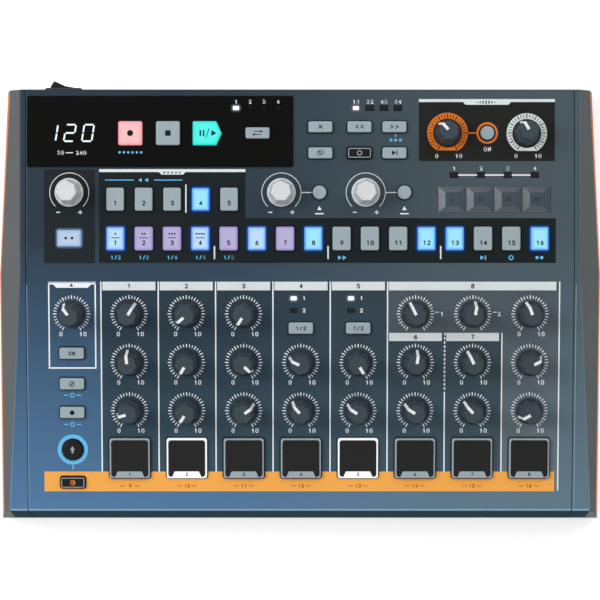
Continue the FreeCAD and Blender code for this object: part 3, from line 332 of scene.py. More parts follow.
class Finish:
    """A material with its shader, and the slot of the record that it stands for."""

    def __init__(self, name, slot, specular=0.5):
        self.slot = slot
        self.material = bpy.data.materials.new(name)
        self.material.use_nodes = True
        self.tree = self.material.node_tree
        self.shader = self.tree.nodes["Principled BSDF"]
        self.shader.inputs["Specular IOR Level"].default_value = specular
        coordinates = self.tree.nodes.new("ShaderNodeTexCoord")
        self.place = coordinates.outputs["Object"]

    def rim(self):
        """How near each point lies to the rim of its shape."""
        attribute = self.tree.nodes.new("ShaderNodeAttribute")
        attribute.attribute_name = "rim"
        return attribute.outputs["Fac"]

    def surface(self, group, settings):
        """Run a node group over the surface and feed its outputs to the shader."""
        node = self.tree.nodes.new("ShaderNodeGroup")
        node.node_tree = group
        self.tree.links.new(self.place, node.inputs["Vector"])
        for label, value in settings.items():
            if hasattr(value, "is_linked"):
                self.tree.links.new(value, node.inputs[label])
            else:
                node.inputs[label].default_value = value
        for socket in node.outputs:
            target = "Base Color" if socket.name == "Color" else socket.name
            self.tree.links.new(socket, self.shader.inputs[target])
        return self


def grained(name, slot, colour, roughness, grain=3.0, change=0.12, marks=0.12, depth=0.01,
            specular=0.5):
    finish = Finish(name, slot, specular)
    source = linear(colour) if isinstance(colour, tuple) else colour(finish)
    return finish.surface(GRAIN, {"Color": source, "Grain Scale": grain, "Color Change": change,
                                  "Roughness": roughness, "Mark Strength": marks,
                                  "Grain Depth": depth})


def ink(name, colour, change=0.05, slot="panel_paint"):
    return grained(name, slot, colour, 0.55, change=change, specular=0.1)


def ground(name, colour, change=0.2, specular=0.1):
    """A broad printed area of the panel."""
    return grained(name, "panel_paint", colour, 0.5, grain=2.6, change=change, specular=specular)


def with_painted_light(corners):
    """A colour source: painted light between a tone's four colours, and painted shade on the wall."""
    def build(finish):
        node = finish.tree.nodes.new("ShaderNodeGroup")
        node.node_tree = PAINTED_LIGHT_GROUP
        finish.tree.links.new(finish.place, node.inputs["Vector"])
        for label, colour in zip(PAINTED_LIGHT_PLACES, corners + (FRONT_WALL_SHADE,)):
            node.inputs[label].default_value = linear(colour)
        gloss = finish.shader.inputs["Specular IOR Level"]
        matt_wall = math_node(finish.tree, "MULTIPLY_ADD", node.outputs["Wall"],
                              -gloss.default_value, gloss.default_value)
        finish.tree.links.new(matt_wall, gloss)
        return node.outputs["Color"]
    return build


UNLIT_SHARE = 0.2
SCREEN_POWER = 2.2


def lit(name, slot, centre, rim, strength=0.8):
    """Translucent plastic with a lamp behind it, bluer or redder towards its rim."""
    base = tuple(value * UNLIT_SHARE ** (1 / SCREEN_POWER) for value in centre)
    finish = grained(name, slot, base, 0.35, grain=4.0, change=0.05, depth=0.004, specular=0.2)
    glow = mix_colours(finish.tree, finish.rim(), linear(centre), linear(rim))
    finish.tree.links.new(glow, finish.shader.inputs["Emission Color"])
    finish.shader.inputs["Emission Strength"].default_value = strength
    return finish


def halo(name, colour, strength):
    """Light that spills onto the panel around a lit key, fading outwards."""
    finish = Finish(name, "panel_paint", specular=0.0)
    finish.shader.inputs["Base Color"].default_value = (0, 0, 0, 1)
    finish.shader.inputs["Roughness"].default_value = 1.0
    broken = noise(finish.tree, in_millimetres(finish.tree, finish.place), 0.6)
    fade = math_node(finish.tree, "MULTIPLY", finish.rim(),
                     math_node(finish.tree, "MULTIPLY_ADD", broken, 0.3, 0.7))
    finish.tree.links.new(fade, finish.shader.inputs["Alpha"])
    finish.shader.inputs["Emission Color"].default_value = linear(colour)
    finish.shader.inputs["Emission Strength"].default_value = strength
    return finish


def drawn(name, slot, colour, roughness):
    finish = Finish(name, slot)
    finish.shader.inputs["Metallic"].default_value = 1.0
    return finish.surface(DRAWN, {"Color": linear(colour), "Roughness": roughness})


def two_part(name, slot, metal_from_y):
    """Black plastic behind the rear wall and bright metal outside it, as on a panel jack."""
    finish = drawn(name, slot, (146, 148, 150), 0.3)
    split = finish.tree.nodes.new("ShaderNodeSeparateXYZ")
    finish.tree.links.new(finish.place, split.inputs[0])
    outside = math_node(finish.tree, "GREATER_THAN", split.outputs["Y"], metal_from_y * MM)
    metal = finish.shader.inputs["Base Color"].links[0].from_socket
    colour = mix_colours(finish.tree, outside, linear((28, 28, 30)), metal)
    finish.tree.links.new(colour, finish.shader.inputs["Base Color"])
    finish.tree.links.new(outside, finish.shader.inputs["Metallic"])
    return finish


# Painted light: the panel paint and column overprints change colour as reflected light would
PANEL_PAINT_AND_LIGHT = grained("panel_paint", "panel_paint", with_painted_light(PANEL_PAINTED_LIGHT), 0.45, grain=2.6, change=0.14,
                depth=0.012, specular=0.15)
OVERPRINT_AND_LIGHT = ground("column_overprint", with_painted_light(COLUMN_PAINTED_LIGHT), 0.12, 0.12)
WIDE_OVERPRINT_AND_LIGHT = ground("wide_column_overprint", with_painted_light(WIDE_COLUMN_PAINTED_LIGHT), 0.12, 0.12)
BLACK_PRINT = ground("black_print", (27, 34, 36))
WARM_BLACK_PRINT = ground("warm_black_print", (36, 36, 35))
SLATE_PRINT = ground("slate_print", (32, 39, 43))
# Painted highlights: light lines where the panel's seams and front edge catch the light
EDGE_HIGHLIGHT = grained("edge_painted_highlight", "panel_paint", (132, 172, 200), 0.4, change=0.3, specular=0.3)
SEAM_HIGHLIGHT = grained("seam_painted_highlight", "panel_paint", (88, 108, 120), 0.4, change=0.3, specular=0.3)
# Painted reflection: the cheeks' warm grey stands for bright surroundings on their slanted faces
CHEEK_REFLECTION_GREY = grained("cheek_plastic", "cheek_plastic", (84, 88, 90), 0.55, grain=2.2, change=0.14,
                depth=0.03, specular=0.2)
TRIM = grained("trim_plastic", "trim_plastic", (216, 124, 50), 0.6, grain=2.0,
               depth=0.015, specular=0.08)
BASE = grained("base_plastic", "base_plastic", (70, 76, 78), 0.55, grain=2.2, change=0.14,
               depth=0.03, specular=0.25)
REAR = grained("rear_paint", "rear_paint", (40, 44, 48), 0.48, grain=2.6, change=0.16,
               depth=0.012, specular=0.25)
WINDOW = grained("window_plastic", "window_plastic", (12, 13, 11), 0.2, grain=1.0, change=0.1,
                 marks=0.08, depth=0.001, specular=0.12)
BOARD = grained("circuit_board", "board", (30, 78, 52), 0.4, grain=1.2, change=0.3)
SWITCH = grained("switch_plastic", "switch_plastic", (30, 30, 31), 0.5)
FOOT = grained("foot_rubber", "foot_rubber", (30, 30, 31), 0.8, grain=1.6, change=0.25,
               depth=0.04, specular=0.3)
TOUCH = grained("touch_plastic", "touch_plastic", (60, 74, 82), 0.28, grain=2.2, change=0.14,
                specular=0.6)
TOUCH_INK = grained("touch_ink", "touch_plastic", (36, 48, 55), 0.5, change=0.1, specular=0.2)
# The grip is the skirt's plastic painted lighter: painted light on the knob's upper faces
KNOB = grained("knob_plastic", "knob_plastic", (46, 56, 62), 0.42, grain=2.4, change=0.22,
               marks=0.16, depth=0.012, specular=0.25)
GRIP_PAINTED_LIGHTER = grained("knob_grip", "knob_plastic", (60, 72, 80), 0.46, grain=2.4, change=0.22,
               marks=0.16, depth=0.012, specular=0.25)
POINTER = grained("pointer_white", "knob_plastic", (240, 243, 243), 0.45, change=0.04)
WHITE_KNOB = grained("white_knob", "knob_plastic", (220, 223, 224), 0.4, grain=2.4, change=0.05,
                     depth=0.006, specular=0.3)
KEY = grained("grey_key", "key_plastic", GREY_KEY, 0.42, change=0.08, depth=0.008,
              specular=0.25)
DARK_KEY = grained("dark_key", "dark_key_plastic", (24, 24, 25), 0.4, change=0.15,
                   depth=0.008, specular=0.25)
VIOLET_KEY = lit("violet_key", "key_plastic", VIOLET, (158, 140, 208))
PALE_KEY = lit("pale_blue_key", "key_plastic", LIT_PALE, LIT_BLUE)
CYAN_KEY = lit("cyan_blue_key", "key_plastic", LIT_CYAN, LIT_BLUE)
PINK_KEY = lit("pink_key", "key_plastic", (255, 196, 200), (252, 150, 158))
GREEN_KEY = lit("green_key", "key_plastic", (86, 250, 240), (20, 226, 208))
TAP_LIT = lit("tap_key", "dark_key_plastic", (186, 208, 232), (130, 170, 222))
RUBBER = grained("pad_rubber", "pad_rubber", (34, 34, 34), 0.62, grain=1.8, change=0.2,
                 marks=0.2, depth=0.02, specular=0.2)
PAD_GREY = grained("pad_frame", "pad_rubber", (164, 176, 182), 0.4, change=0.08,
                   specular=0.25)
PAD_LIT = lit("lit_pad_frame", "pad_rubber", (255, 255, 255), (250, 253, 255), 0.85)
# Painted shadow in the gaps round keys and pads, and a little onto the panel
GAP_SHADOW = grained("pad_shadow_line", "pad_rubber", (16, 18, 20), 0.6, specular=0.1)
LAMP_OFF = grained("lamp_off", "lamp_plastic", (22, 28, 31), 0.35, change=0.1, specular=0.3)
LAMP_HIDDEN = grained("lamp_behind_window", "lamp_plastic", (14, 15, 14), 0.3, change=0.1,
                      specular=0.12)
LAMP_WHITE = lit("lamp_white", "lamp_plastic", (255, 255, 255), (236, 244, 255), 1.2)
LAMP_PINK = lit("lamp_pink", "lamp_plastic", (255, 244, 246), (255, 200, 206), 1.2)
ROCKER = grained("rocker_plastic", "rocker_plastic", (24, 24, 25), 0.35, change=0.2,
                 specular=0.25)
STEEL = drawn("fastener_steel", "fastener_steel", (150, 150, 150), 0.32)
POT_METAL = drawn("pot_metal", "pot_metal", (165, 165, 160), 0.38)
JACK = two_part("jack_metal_and_plastic", "socket_plastic", 107.85)
SOCKET = grained("socket_plastic", "socket_plastic", (22, 22, 24), 0.4, change=0.2)
INK_WHITE = ink("white_ink", WHITE_INK, 0.04)
INK_LINE = ink("line_ink", LINE_INK, 0.03)
INK_BLUE = ink("blue_ink", BLUE_INK, 0.04)
INK_ORANGE = ink("orange_ink", ORANGE)
INK_DEEP_ORANGE = ink("deep_orange_ink", (196, 100, 26))
INK_RING_ORANGE = ink("ring_orange_ink", (228, 124, 40))
INK_BLACK = ink("black_ink", (22, 24, 26), 0.1)
INK_NAVY = ink("navy_ink", (14, 22, 52), 0.1, "key_plastic")
INK_GREY = ink("grey_ink", (158, 168, 174))
DIGIT_LIGHT = lit("digit_light", "window_plastic", (235, 246, 255), (235, 246, 255), 1.0)
BLUE_HALO = halo("blue_halo", (36, 116, 240), 0.5)
WHITE_HALO = halo("white_halo", (190, 210, 240), 0.45)

CAD_FINISHES = {
    "top_panel": PANEL_PAINT_AND_LIGHT, "side_cheeks": CHEEK_REFLECTION_GREY, "side_trims": TRIM, "base_shell": BASE,
    "rear_panel": REAR, "display_window": WINDOW, "circuit_boards": BOARD,
    "potentiometers": POT_METAL, "key_switches": SWITCH, "audio_jacks": JACK,
    "power_and_data_sockets": SOCKET, "rubber_feet": FOOT, "case_fasteners": STEEL,
    "indicator_lights": LAMP_OFF, "power_rocker": ROCKER,
}


# Outlines, each a function that gives its points for an inset

SHARP = 0.05
CAP_EDGE_STEPS = 4
BUTTON_EDGE = 0.15
SHARP_TURN = math.radians(35)


def inset_corners(corners, inset):
    """A convex outline with every side moved inwards."""
    moved = []
    for index, corner in enumerate(corners):
        here = Vector(corner)
        to_before = (Vector(corners[index - 1]) - here).normalized()
        to_after = (Vector(corners[(index + 1) % len(corners)]) - here).normalized()
        half = to_before.angle(to_after) / 2
        moved.append(here + (to_before + to_after).normalized() * inset / math.sin(half))
    return moved


def rounded(corners, radius, steps):
    """Anticlockwise points round a convex outline, with each corner an arc."""
    points = []
    for index, here in enumerate(corners):
        to_before = (corners[index - 1] - here).normalized()
        to_after = (corners[(index + 1) % len(corners)] - here).normalized()
        half = to_before.angle(to_after) / 2
        centre = here + (to_before + to_after).normalized() * radius / math.sin(half)
        start = here + to_before * radius / math.tan(half) - centre
        for step in range(steps + 1):
            turn = Matrix.Rotation((math.pi - 2 * half) * step / steps, 2)
            points.append(centre + turn @ start)
    return points


def cornered(corners, radius, steps=6):
    return lambda inset: rounded(inset_corners(corners, inset), max(radius - inset, SHARP), steps)


def block_outline(x, y, width, length, radius=KEY_CORNER_R):
    half_w, half_l = width / 2, length / 2
    corners = [(x - half_w, y - half_l), (x + half_w, y - half_l),
               (x + half_w, y + half_l), (x - half_w, y + half_l)]
    return cornered(corners, radius)


def round_outline(x, y, radius, steps=48):
    def points(inset):
        angles = [2 * math.pi * step / steps for step in range(steps)]
        return [Vector((x + (radius - inset) * math.cos(a), y + (radius - inset) * math.sin(a)))
                for a in angles]
    return points


def knob_outline(radius, corner):
    turns = [2 * math.pi * index / KNOB_FACES + math.pi / 2 for index in range(KNOB_FACES)]
    return cornered([(radius * math.cos(t), radius * math.sin(t)) for t in turns], corner, 4)


def bearing(degrees, radius):
    """The point at a distance and a bearing from a dial's centre."""
    angle = math.radians(degrees)
    return Vector((radius * math.sin(angle), radius * math.cos(angle)))


# Shapes

class Shape:
    """Points and faces gathered in millimetres, with how near each point lies to a rim."""

    def __init__(self):
        self.points = []
        self.faces = []
        self.rims = []

    def add(self, points, faces, rims=None):
        first = len(self.points)
        self.points += [Vector(point) for point in points]
        self.faces += [[first + index for index in face] for face in faces]
        self.rims += list(rims) if rims else [0.0] * len(points)

    def skin(self, rings, rims=None, cap_low=True, cap_high=True):
        """Join rings of equal length, from the lowest to the highest, and close the ends."""
        count = len(rings[0])
        rims = rims or [0.0] * len(rings)
        points = [point for ring in rings for point in ring]
        faces = []
        for level in range(len(rings) - 1):
            for index in range(count):
                follow = (index + 1) % count
                low, high = level * count, (level + 1) * count
                faces.append([low + index, low + follow, high + follow, high + index])
        if cap_low:
            faces.append(list(reversed(range(count))))
        if cap_high:
            faces.append([len(points) - count + index for index in range(count)])
        self.add(points, faces, [rim for ring, rim in zip(rings, rims) for _ in ring])

    def finish(self, name, material, body, zone="world", replaces=()):
        mesh = bpy.data.meshes.new(name)
        mesh.from_pydata([tuple(point) for point in self.points], [], self.faces)
        attribute = mesh.attributes.new("rim", "FLOAT", "POINT")
        attribute.data.foreach_set("value", self.rims)
        make_piece(name, mesh, material, body, zone, replaces)


def make_piece(name, mesh, finish, body, zone="world", replaces=()):
    """Put a mesh in millimetres in its place, as a piece that rides on a body."""
    mesh.transform(Matrix.Scale(MM, 4) @ ZONES[zone])
    mesh.shade_smooth()
    mesh.set_sharp_from_angle(angle=SHARP_TURN)
    mesh.materials.clear()
    mesh.materials.append(finish.material)
    piece = bpy.data.objects.new(name, mesh)
    bpy.context.scene.collection.objects.link(piece)
    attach(piece, body)
    if replaces:
        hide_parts(*replaces)


def ring_at(points, height):
    return [(point[0], point[1], height) for point in points]


def stacked(outline, levels, cap_high=True):
    """An outline at levels of inset, height and nearness to the rim, open below."""
    shape = Shape()
    rings = [ring_at(outline(inset), height) for inset, height, _ in levels]
    shape.skin(rings, [rim for _, _, rim in levels], cap_low=False, cap_high=cap_high)
    return shape


def cap_shape(outline, top, edge=0.55):
    """A key cap: straight walls and a rounded top edge."""
    levels = [(0.0, KEY_LOW, 1.0), (0.0, top - edge, 1.0)]
    for step in range(1, CAP_EDGE_STEPS + 1):
        turn = math.pi / 2 * step / CAP_EDGE_STEPS
        levels.append((edge * (1 - math.cos(turn)), top - edge + edge * math.sin(turn), 1.0))
    levels += [(edge + 0.25, top, 0.5), (edge + 0.8, top, 0.16), (edge + 1.8, top, 0.0)]
    return stacked(outline, levels)


def button_shape(outline, low, top):
    """A low piece with a small bevel round its top."""
    edge = BUTTON_EDGE
    return stacked(outline, [(0.0, low, 1.0), (0.0, top - edge, 1.0), (edge, top, 0.7),
                             (4 * edge, top, 0.0)])


def halo_shape(outline, reach, lift):
    """A flat band round an outline that fades outwards."""
    return stacked(outline, [(-reach, lift, 0.0), (-reach * 0.45, lift, 0.28), (-0.1, lift, 0.95)],
                   cap_high=False)


def band_shape(outline, outer, inner, lift):
    """A flat band between two insets of an outline."""
    return stacked(outline, [(outer, lift, 0.0), (inner, lift, 0.0)], cap_high=False)


# Printing

ARC_STEPS = 72
DISC_STEPS = 32

# Strokes of each sign, on a cell one unit tall
GLYPH_WIDTH = 0.6
GLYPH_GAP = 0.3
ROUND_LOOP = [(0.15, 0), (0.45, 0), (0.6, 0.17), (0.6, 0.83), (0.45, 1), (0.15, 1), (0, 0.83),
              (0, 0.17), (0.15, 0)]
LOWER_LOOP = [(0.15, 0.56), (0, 0.42), (0, 0.15), (0.15, 0), (0.45, 0), (0.6, 0.15), (0.6, 0.42),
              (0.45, 0.56), (0.15, 0.56)]
GLYPHS = {
    "0": [ROUND_LOOP],
    "O": [ROUND_LOOP],
    "1": [[(0.1, 0.8), (0.35, 1), (0.35, 0)]],
    "2": [[(0, 0.83), (0.15, 1), (0.45, 1), (0.6, 0.83), (0.6, 0.62), (0, 0), (0.6, 0)]],
    "3": [[(0, 0.87), (0.15, 1), (0.45, 1), (0.6, 0.85), (0.6, 0.66), (0.45, 0.54), (0.2, 0.54)],
          [(0.45, 0.54), (0.6, 0.4), (0.6, 0.15), (0.45, 0), (0.15, 0), (0, 0.13)]],
    "4": [[(0.45, 0), (0.45, 1), (0, 0.28), (0.64, 0.28)]],
    "5": [[(0.56, 1), (0.05, 1), (0.02, 0.58), (0.42, 0.58), (0.6, 0.43), (0.6, 0.15), (0.45, 0),
           (0.15, 0), (0, 0.13)]],
    "6": [LOWER_LOOP, [(0, 0.42), (0.14, 0.76), (0.45, 1)]],
    "7": [[(0, 1), (0.6, 1), (0.2, 0)]],
    "8": [LOWER_LOOP, [(0.15, 0.56), (0.04, 0.7), (0.04, 0.86), (0.17, 1), (0.43, 1),
                       (0.56, 0.86), (0.56, 0.7), (0.45, 0.56)]],
    "9": [[(0.6 - x, 1 - y) for x, y in LOWER_LOOP], [(0.6, 0.58), (0.46, 0.24), (0.15, 0)]],
    "N": [[(0, 0), (0, 1), (0.6, 0), (0.6, 1)]],
    "V": [[(0, 1), (0.3, 0), (0.6, 1)]],
    "/": [[(0.1, 0), (0.5, 1)]],
}


class Print:
    """Flat printed shapes of one ink, in one zone's own plane."""

    def __init__(self, name, ink, zone="level", lift=INK_LIFT):
        self.name = name
        self.ink = ink
        self.zone = zone
        self.lift = lift
        self.shape = Shape()

    def area(self, points):
        self.shape.add(ring_at(points, self.lift), [list(range(len(points)))])

    def block(self, left, low, right, high):
        self.area([(left, low), (right, low), (right, high), (left, high)])

    def blocks(self, rows):
        for row in rows:
            self.block(*row)

    def bar(self, x, y, width, height):
        """A block by its middle and its size."""
        self.block(x - width / 2, y - height / 2, x + width / 2, y + height / 2)

    def line(self, start, end, width):
        start, end = Vector(start), Vector(end)
        side = (end - start).normalized().orthogonal() * width / 2
        self.area([start - side, end - side, end + side, start + side])

    def frame(self, left, low, right, high, width):
        self.block(left, low, right, low + width)
        self.block(left, high - width, right, high)
        self.block(left, low + width, left + width, high - width)
        self.block(right - width, low + width, right, high - width)

    def arc(self, centre, inner, outer, start=0.0, end=360.0, flat=None):
        """A ring or part of one, between two bearings, cut straight at a distance below."""
        def reach(degrees, radius):
            point = bearing(degrees, radius)
            if flat is not None and point.y < -flat:
                point *= flat / -point.y
            return Vector(centre) + point
        for step in range(ARC_STEPS):
            first = start + (end - start) * step / ARC_STEPS
            last = start + (end - start) * (step + 1) / ARC_STEPS
            self.area([reach(first, inner), reach(last, inner),
                       reach(last, outer), reach(first, outer)][::-1])

    def disc(self, centre, radius):
        self.area([Vector(centre) + bearing(-360 * step / DISC_STEPS, radius)
                   for step in range(DISC_STEPS)])

    def triangle(self, centre, size, degrees):
        """A solid arrow head that points along a bearing."""
        self.area([Vector(centre) + bearing(degrees - turn, size) for turn in (0, 120, 240)])

    def cross(self, centre, size, width):
        centre = Vector(centre)
        for slant in (1, -1):
            reach = Vector((size, slant * size))
            self.line(centre - reach, centre + reach, width)

    def text(self, words, centre, height, weight=0.2):
        """Plain numerals drawn as strokes of even weight, centred on a point."""
        advance = (GLYPH_WIDTH + GLYPH_GAP) * height
        x = centre[0] - (len(words) * advance - GLYPH_GAP * height) / 2
        y = centre[1] - height / 2
        inset = weight * height / 2
        scale = height - weight * height
        for sign in words:
            for stroke in GLYPHS.get(sign, ()):
                path = [Vector((x + inset + p[0] * scale, y + inset + p[1] * scale))
                        for p in stroke]
                for start, end in zip(path, path[1:]):
                    along = (end - start).normalized() * inset * 0.7
                    self.line(start - along, end + along, weight * height)
            x += advance

    def numbers(self, places, height, first=1, step=1, weight=0.2):
        """A row of numbers, one at each place."""
        for index, place in enumerate(places):
            self.text(str(first + step * index), place, height, weight)

    def done(self, body="case"):
        self.shape.finish(self.name, self.ink, body, self.zone)


# Copies placed by geometry nodes

def new_tree(name, settings):
    """A geometry node tree with named settings, and its two ends."""
    tree = bpy.data.node_groups.new(name, "GeometryNodeTree")
    tree.interface.new_socket("Geometry", in_out="INPUT", socket_type="NodeSocketGeometry")
    for label, kind in settings:
        tree.interface.new_socket(label, in_out="INPUT", socket_type="NodeSocket" + kind)
    tree.interface.new_socket("Geometry", in_out="OUTPUT", socket_type="NodeSocketGeometry")
    return tree, tree.nodes.new("NodeGroupInput").outputs, tree.nodes.new("NodeGroupOutput")


def placed_copies(tree, points, original, rotation=None, scale=None):
    """Copies of an original on points."""
    node = tree.nodes.new("GeometryNodeInstanceOnPoints")
    for label, value in (("Points", points), ("Instance", original), ("Rotation", rotation),
                         ("Scale", scale)):
        if value:
            tree.links.new(value, node.inputs[label])
    return node.outputs[0]


def finish_tree(tree, copies, finish, sink):
    """Make the copies one mesh of one finish."""
    solid = tree.nodes.new("GeometryNodeRealizeInstances")
    tree.links.new(copies, solid.inputs[0])
    finished = tree.nodes.new("GeometryNodeSetMaterial")
    tree.links.new(solid.outputs[0], finished.inputs["Geometry"])
    tree.links.new(finish, finished.inputs["Material"])
    tree.links.new(finished.outputs[0], sink.inputs[0])


def combined(tree, **parts):
    """A vector from its parts."""
    node = tree.nodes.new("ShaderNodeCombineXYZ")
    for axis, value in parts.items():
        if isinstance(value, float):
            node.inputs[axis].default_value = value
        else:
            tree.links.new(value, node.inputs[axis])
    return node.outputs[0]


def build_tick_tree():
    """A ring of tick marks round each point of the mesh that it is given."""
    tree, given, sink = new_tree("dial_ticks", (
        ("Count", "Int"), ("Sweep", "Float"), ("Radius", "Float"), ("Minor Length", "Float"),
        ("Major Length", "Float"), ("Minor Width", "Float"), ("Major Width", "Float"),
        ("Major Every", "Int"), ("Ink", "Material")))
    index = tree.nodes.new("GeometryNodeInputIndex").outputs[0]
    gaps = math_node(tree, "SUBTRACT", given["Count"], 1.0)
    step = math_node(tree, "DIVIDE", given["Sweep"], gaps)
    half = math_node(tree, "MULTIPLY", given["Sweep"], -0.5)
    turn = math_node(tree, "MULTIPLY_ADD", index, step, half)
    sine = math_node(tree, "SINE", turn, None)
    cosine = math_node(tree, "COSINE", turn, None)
    place = combined(tree, X=math_node(tree, "MULTIPLY", sine, given["Radius"]),
                     Y=math_node(tree, "MULTIPLY", cosine, given["Radius"]))

    line = tree.nodes.new("GeometryNodeMeshLine")
    tree.links.new(given["Count"], line.inputs["Count"])
    spread = tree.nodes.new("GeometryNodeSetPosition")
    tree.links.new(line.outputs[0], spread.inputs["Geometry"])
    tree.links.new(place, spread.inputs["Position"])

    remainder = math_node(tree, "MODULO", index, given["Major Every"])
    major = math_node(tree, "LESS_THAN", remainder, 0.5)

    def sized(measure):
        minor, larger = given["Minor " + measure], given["Major " + measure]
        return math_node(tree, "MULTIPLY_ADD", major, math_node(tree, "SUBTRACT", larger, minor),
                         minor)

    mark = tree.nodes.new("GeometryNodeMeshGrid")
    mark.inputs["Vertices X"].default_value = 2
    mark.inputs["Vertices Y"].default_value = 2
    ring = placed_copies(tree, spread.outputs[0], mark.outputs[0],
                         combined(tree, Z=math_node(tree, "MULTIPLY", turn, -1.0)),
                         combined(tree, X=sized("Width"), Y=sized("Length"), Z=1.0))
    finish_tree(tree, placed_copies(tree, given["Geometry"], ring), given["Ink"], sink)
    return tree


def build_copy_tree():
    """One copy of an object's mesh at each point of the mesh that it is given."""
    tree, given, sink = new_tree("placed_copies", (("Original", "Object"), ("Finish", "Material")))
    original = tree.nodes.new("GeometryNodeObjectInfo")
    tree.links.new(given["Original"], original.inputs["Object"])
    copies = placed_copies(tree, given["Geometry"], original.outputs["Geometry"])
    finish_tree(tree, copies, given["Finish"], sink)
    return tree


TICK_TREE = build_tick_tree()
COPY_TREE = build_copy_tree()


def grown(name, places, tree, settings):
    """The mesh that a geometry node tree makes from a set of places, in millimetres."""
    mesh = bpy.data.meshes.new(name)
    mesh.from_pydata([tuple(place) for place in places], [], [])
    carrier = bpy.data.objects.new(name, mesh)
    modifier = carrier.modifiers.new(name, "NODES")
    modifier.node_group = tree
    for item in tree.interface.items_tree:
        if item.in_out == "INPUT" and item.name in settings:
            modifier[item.identifier] = settings[item.name]
    bpy.context.scene.collection.objects.link(carrier)
    bpy.context.view_layer.update()
    evaluated = carrier.evaluated_get(bpy.context.evaluated_depsgraph_get())
    result = bpy.data.meshes.new_from_object(evaluated)
    carrier.modifiers.remove(modifier)
    bpy.data.objects.remove(carrier)
    return result


def print_ticks(name, places, ink, zone, radius=TICK_MIDDLE_R, lengths=TICK_LENGTHS,
                widths=TICK_WIDTHS, lift=INK_LIFT):
    settings = {"Count": TICK_COUNT, "Sweep": math.radians(DIAL_SWEEP), "Radius": radius,
                "Minor Length": lengths[0], "Major Length": lengths[1],
                "Minor Width": widths[0], "Major Width": widths[1], "Major Every": 3,
                "Ink": ink.material}
    places = [(x, y, lift) for x, y in places]
    mesh = grown(name, places, TICK_TREE, settings)
    make_piece(name, mesh, ink, "case", zone)


# Knobs

def turned_knobs():
    """Every turning knob: its body, zone, centre in that zone's plane, and pointer bearing."""
    knobs = []
    for joint in frame["joints"]:
        body = joint["child"]
        if not body.endswith("_knob"):
            continue
        sloped = abs(joint["axis"][1]) > 0.01
        zone = "slope" if sloped else "level"
        centre = ZONES[zone].inverted() @ (Vector(joint["pos_m"]) / MM)
        turning_range = joint.get("range_deg")
        pointer = sum(turning_range) / 2 if turning_range else None
        knobs.append((body, zone, centre.xy, pointer))
    return knobs


def turned(points, centre, pointer):
    turn = Matrix.Rotation(-math.radians(pointer), 2)
    moved = []
    for point in points:
        flat = turn @ Vector(point[:2]) + centre
        moved.append((flat.x, flat.y, point[2]))
    return moved


def knob_rings(skirt_r, waist_r):
    """The round skirt's rings: a thin upright rim, then a flare up into the grip."""
    low = KNOB_LIFT
    rim_r = skirt_r - 0.2
    rim_top = low + 1.05
    profile = [(skirt_r - 0.25, low), (skirt_r, low + 0.25), (skirt_r, low + 0.8), (rim_r, rim_top)]
    for step in range(1, FLARE_STEPS + 1):
        turn = math.pi / 2 * step / FLARE_STEPS
        profile.append((rim_r - (rim_r - waist_r) * math.sin(turn),
                        rim_top + FLARE_RISE * (1 - math.cos(turn))))
    return [ring_at(round_outline(0, 0, radius, SKIRT_STEPS)(0.0), height)
            for radius, height in profile]


def grip_rings(base_r, top_r):
    """The seven-sided grip's rings, tapering up to a rounded top edge and a shallow dish."""
    base, top = KNOB_LIFT + GRIP_BASE, KNOB_TOP
    levels = [(base_r, base, 1.3), (top_r + 0.12, top - 0.7, 0.8), (top_r, top - 0.35, 0.75),
              (top_r - 0.2, top - 0.1, 0.7), (top_r - 0.5, top, 0.65),
              (top_r - 1.0, top - 0.05, 0.6)]
    return [ring_at(knob_outline(radius, corner)(0.0), height) for radius, height, corner in levels]


def make_knob(body, zone, centre, pointer, sizes, skirt_finish, grip_finish):
    """A knob in two finishes: the round skirt and the grip on it, where a lighter grip is painted light.
    """
    skirt_r, waist_r, top_r = sizes
    skirt = Shape()
    skirt.skin([turned(ring, centre, pointer) for ring in knob_rings(skirt_r, waist_r)])
    skirt.finish(body + "_skirt", skirt_finish, body, zone, replaces=(body,))
    grip = Shape()
    grip.skin([turned(ring, centre, pointer) for ring in grip_rings(skirt_r - 0.45, top_r)])
    grip.finish(body + "_grip", grip_finish, body, zone)


def make_pointer(body, zone, centre, pointer):
    """A white bar let into the knob, over its top and down one corner to the skirt."""
    base = KNOB_LIFT + GRIP_BASE
    path = [(0.9, POINTER_TOP, 0.3), (KNOB_TOP_R - 0.35, POINTER_TOP, 0.3),
            (KNOB_TOP_R + 0.12, POINTER_TOP - 0.55, 0.45),
            (KNOB_SKIRT_R - 0.75, base + 1.9, 0.55), (KNOB_SKIRT_R - 0.12, base + 0.15, 0.4)]
    half = POINTER_WIDTH / 2
    rings = []
    for radius, height, sink in path:
        flat_part = radius < KNOB_TOP_R - 0.2
        low = (radius, height - sink) if flat_part else (radius - sink, height - sink * 0.2)
        section = [(-half, radius, height), (-half, low[0], low[1]),
                   (half, low[0], low[1]), (half, radius, height)]
        rings.append(turned(section, centre, pointer))
    shape = Shape()
    shape.skin(rings)
    shape.finish(body + "_pointer", POINTER, body, zone)


def build_knobs():
    dials = {"level": [], "slope": []}
    for body, zone, centre, pointer in turned_knobs():
        if pointer is None:
            make_knob(body, zone, centre, 0.0, ENCODER_RADII, WHITE_KNOB, WHITE_KNOB)
        else:
            make_knob(body, zone, centre, pointer, KNOB_RADII, KNOB, GRIP_PAINTED_LIGHTER)
            make_pointer(body, zone, centre, pointer)
            dials[zone].append(centre)
    return dials


# Keys

def column(index):
    return COLUMN_FIRST_X + COLUMN_PITCH * index


def step_x(index):
    return STEP_FIRST_X + STEP_PITCH * index


def mode_x(index):
    return MODE_FIRST_X + MODE_PITCH * index


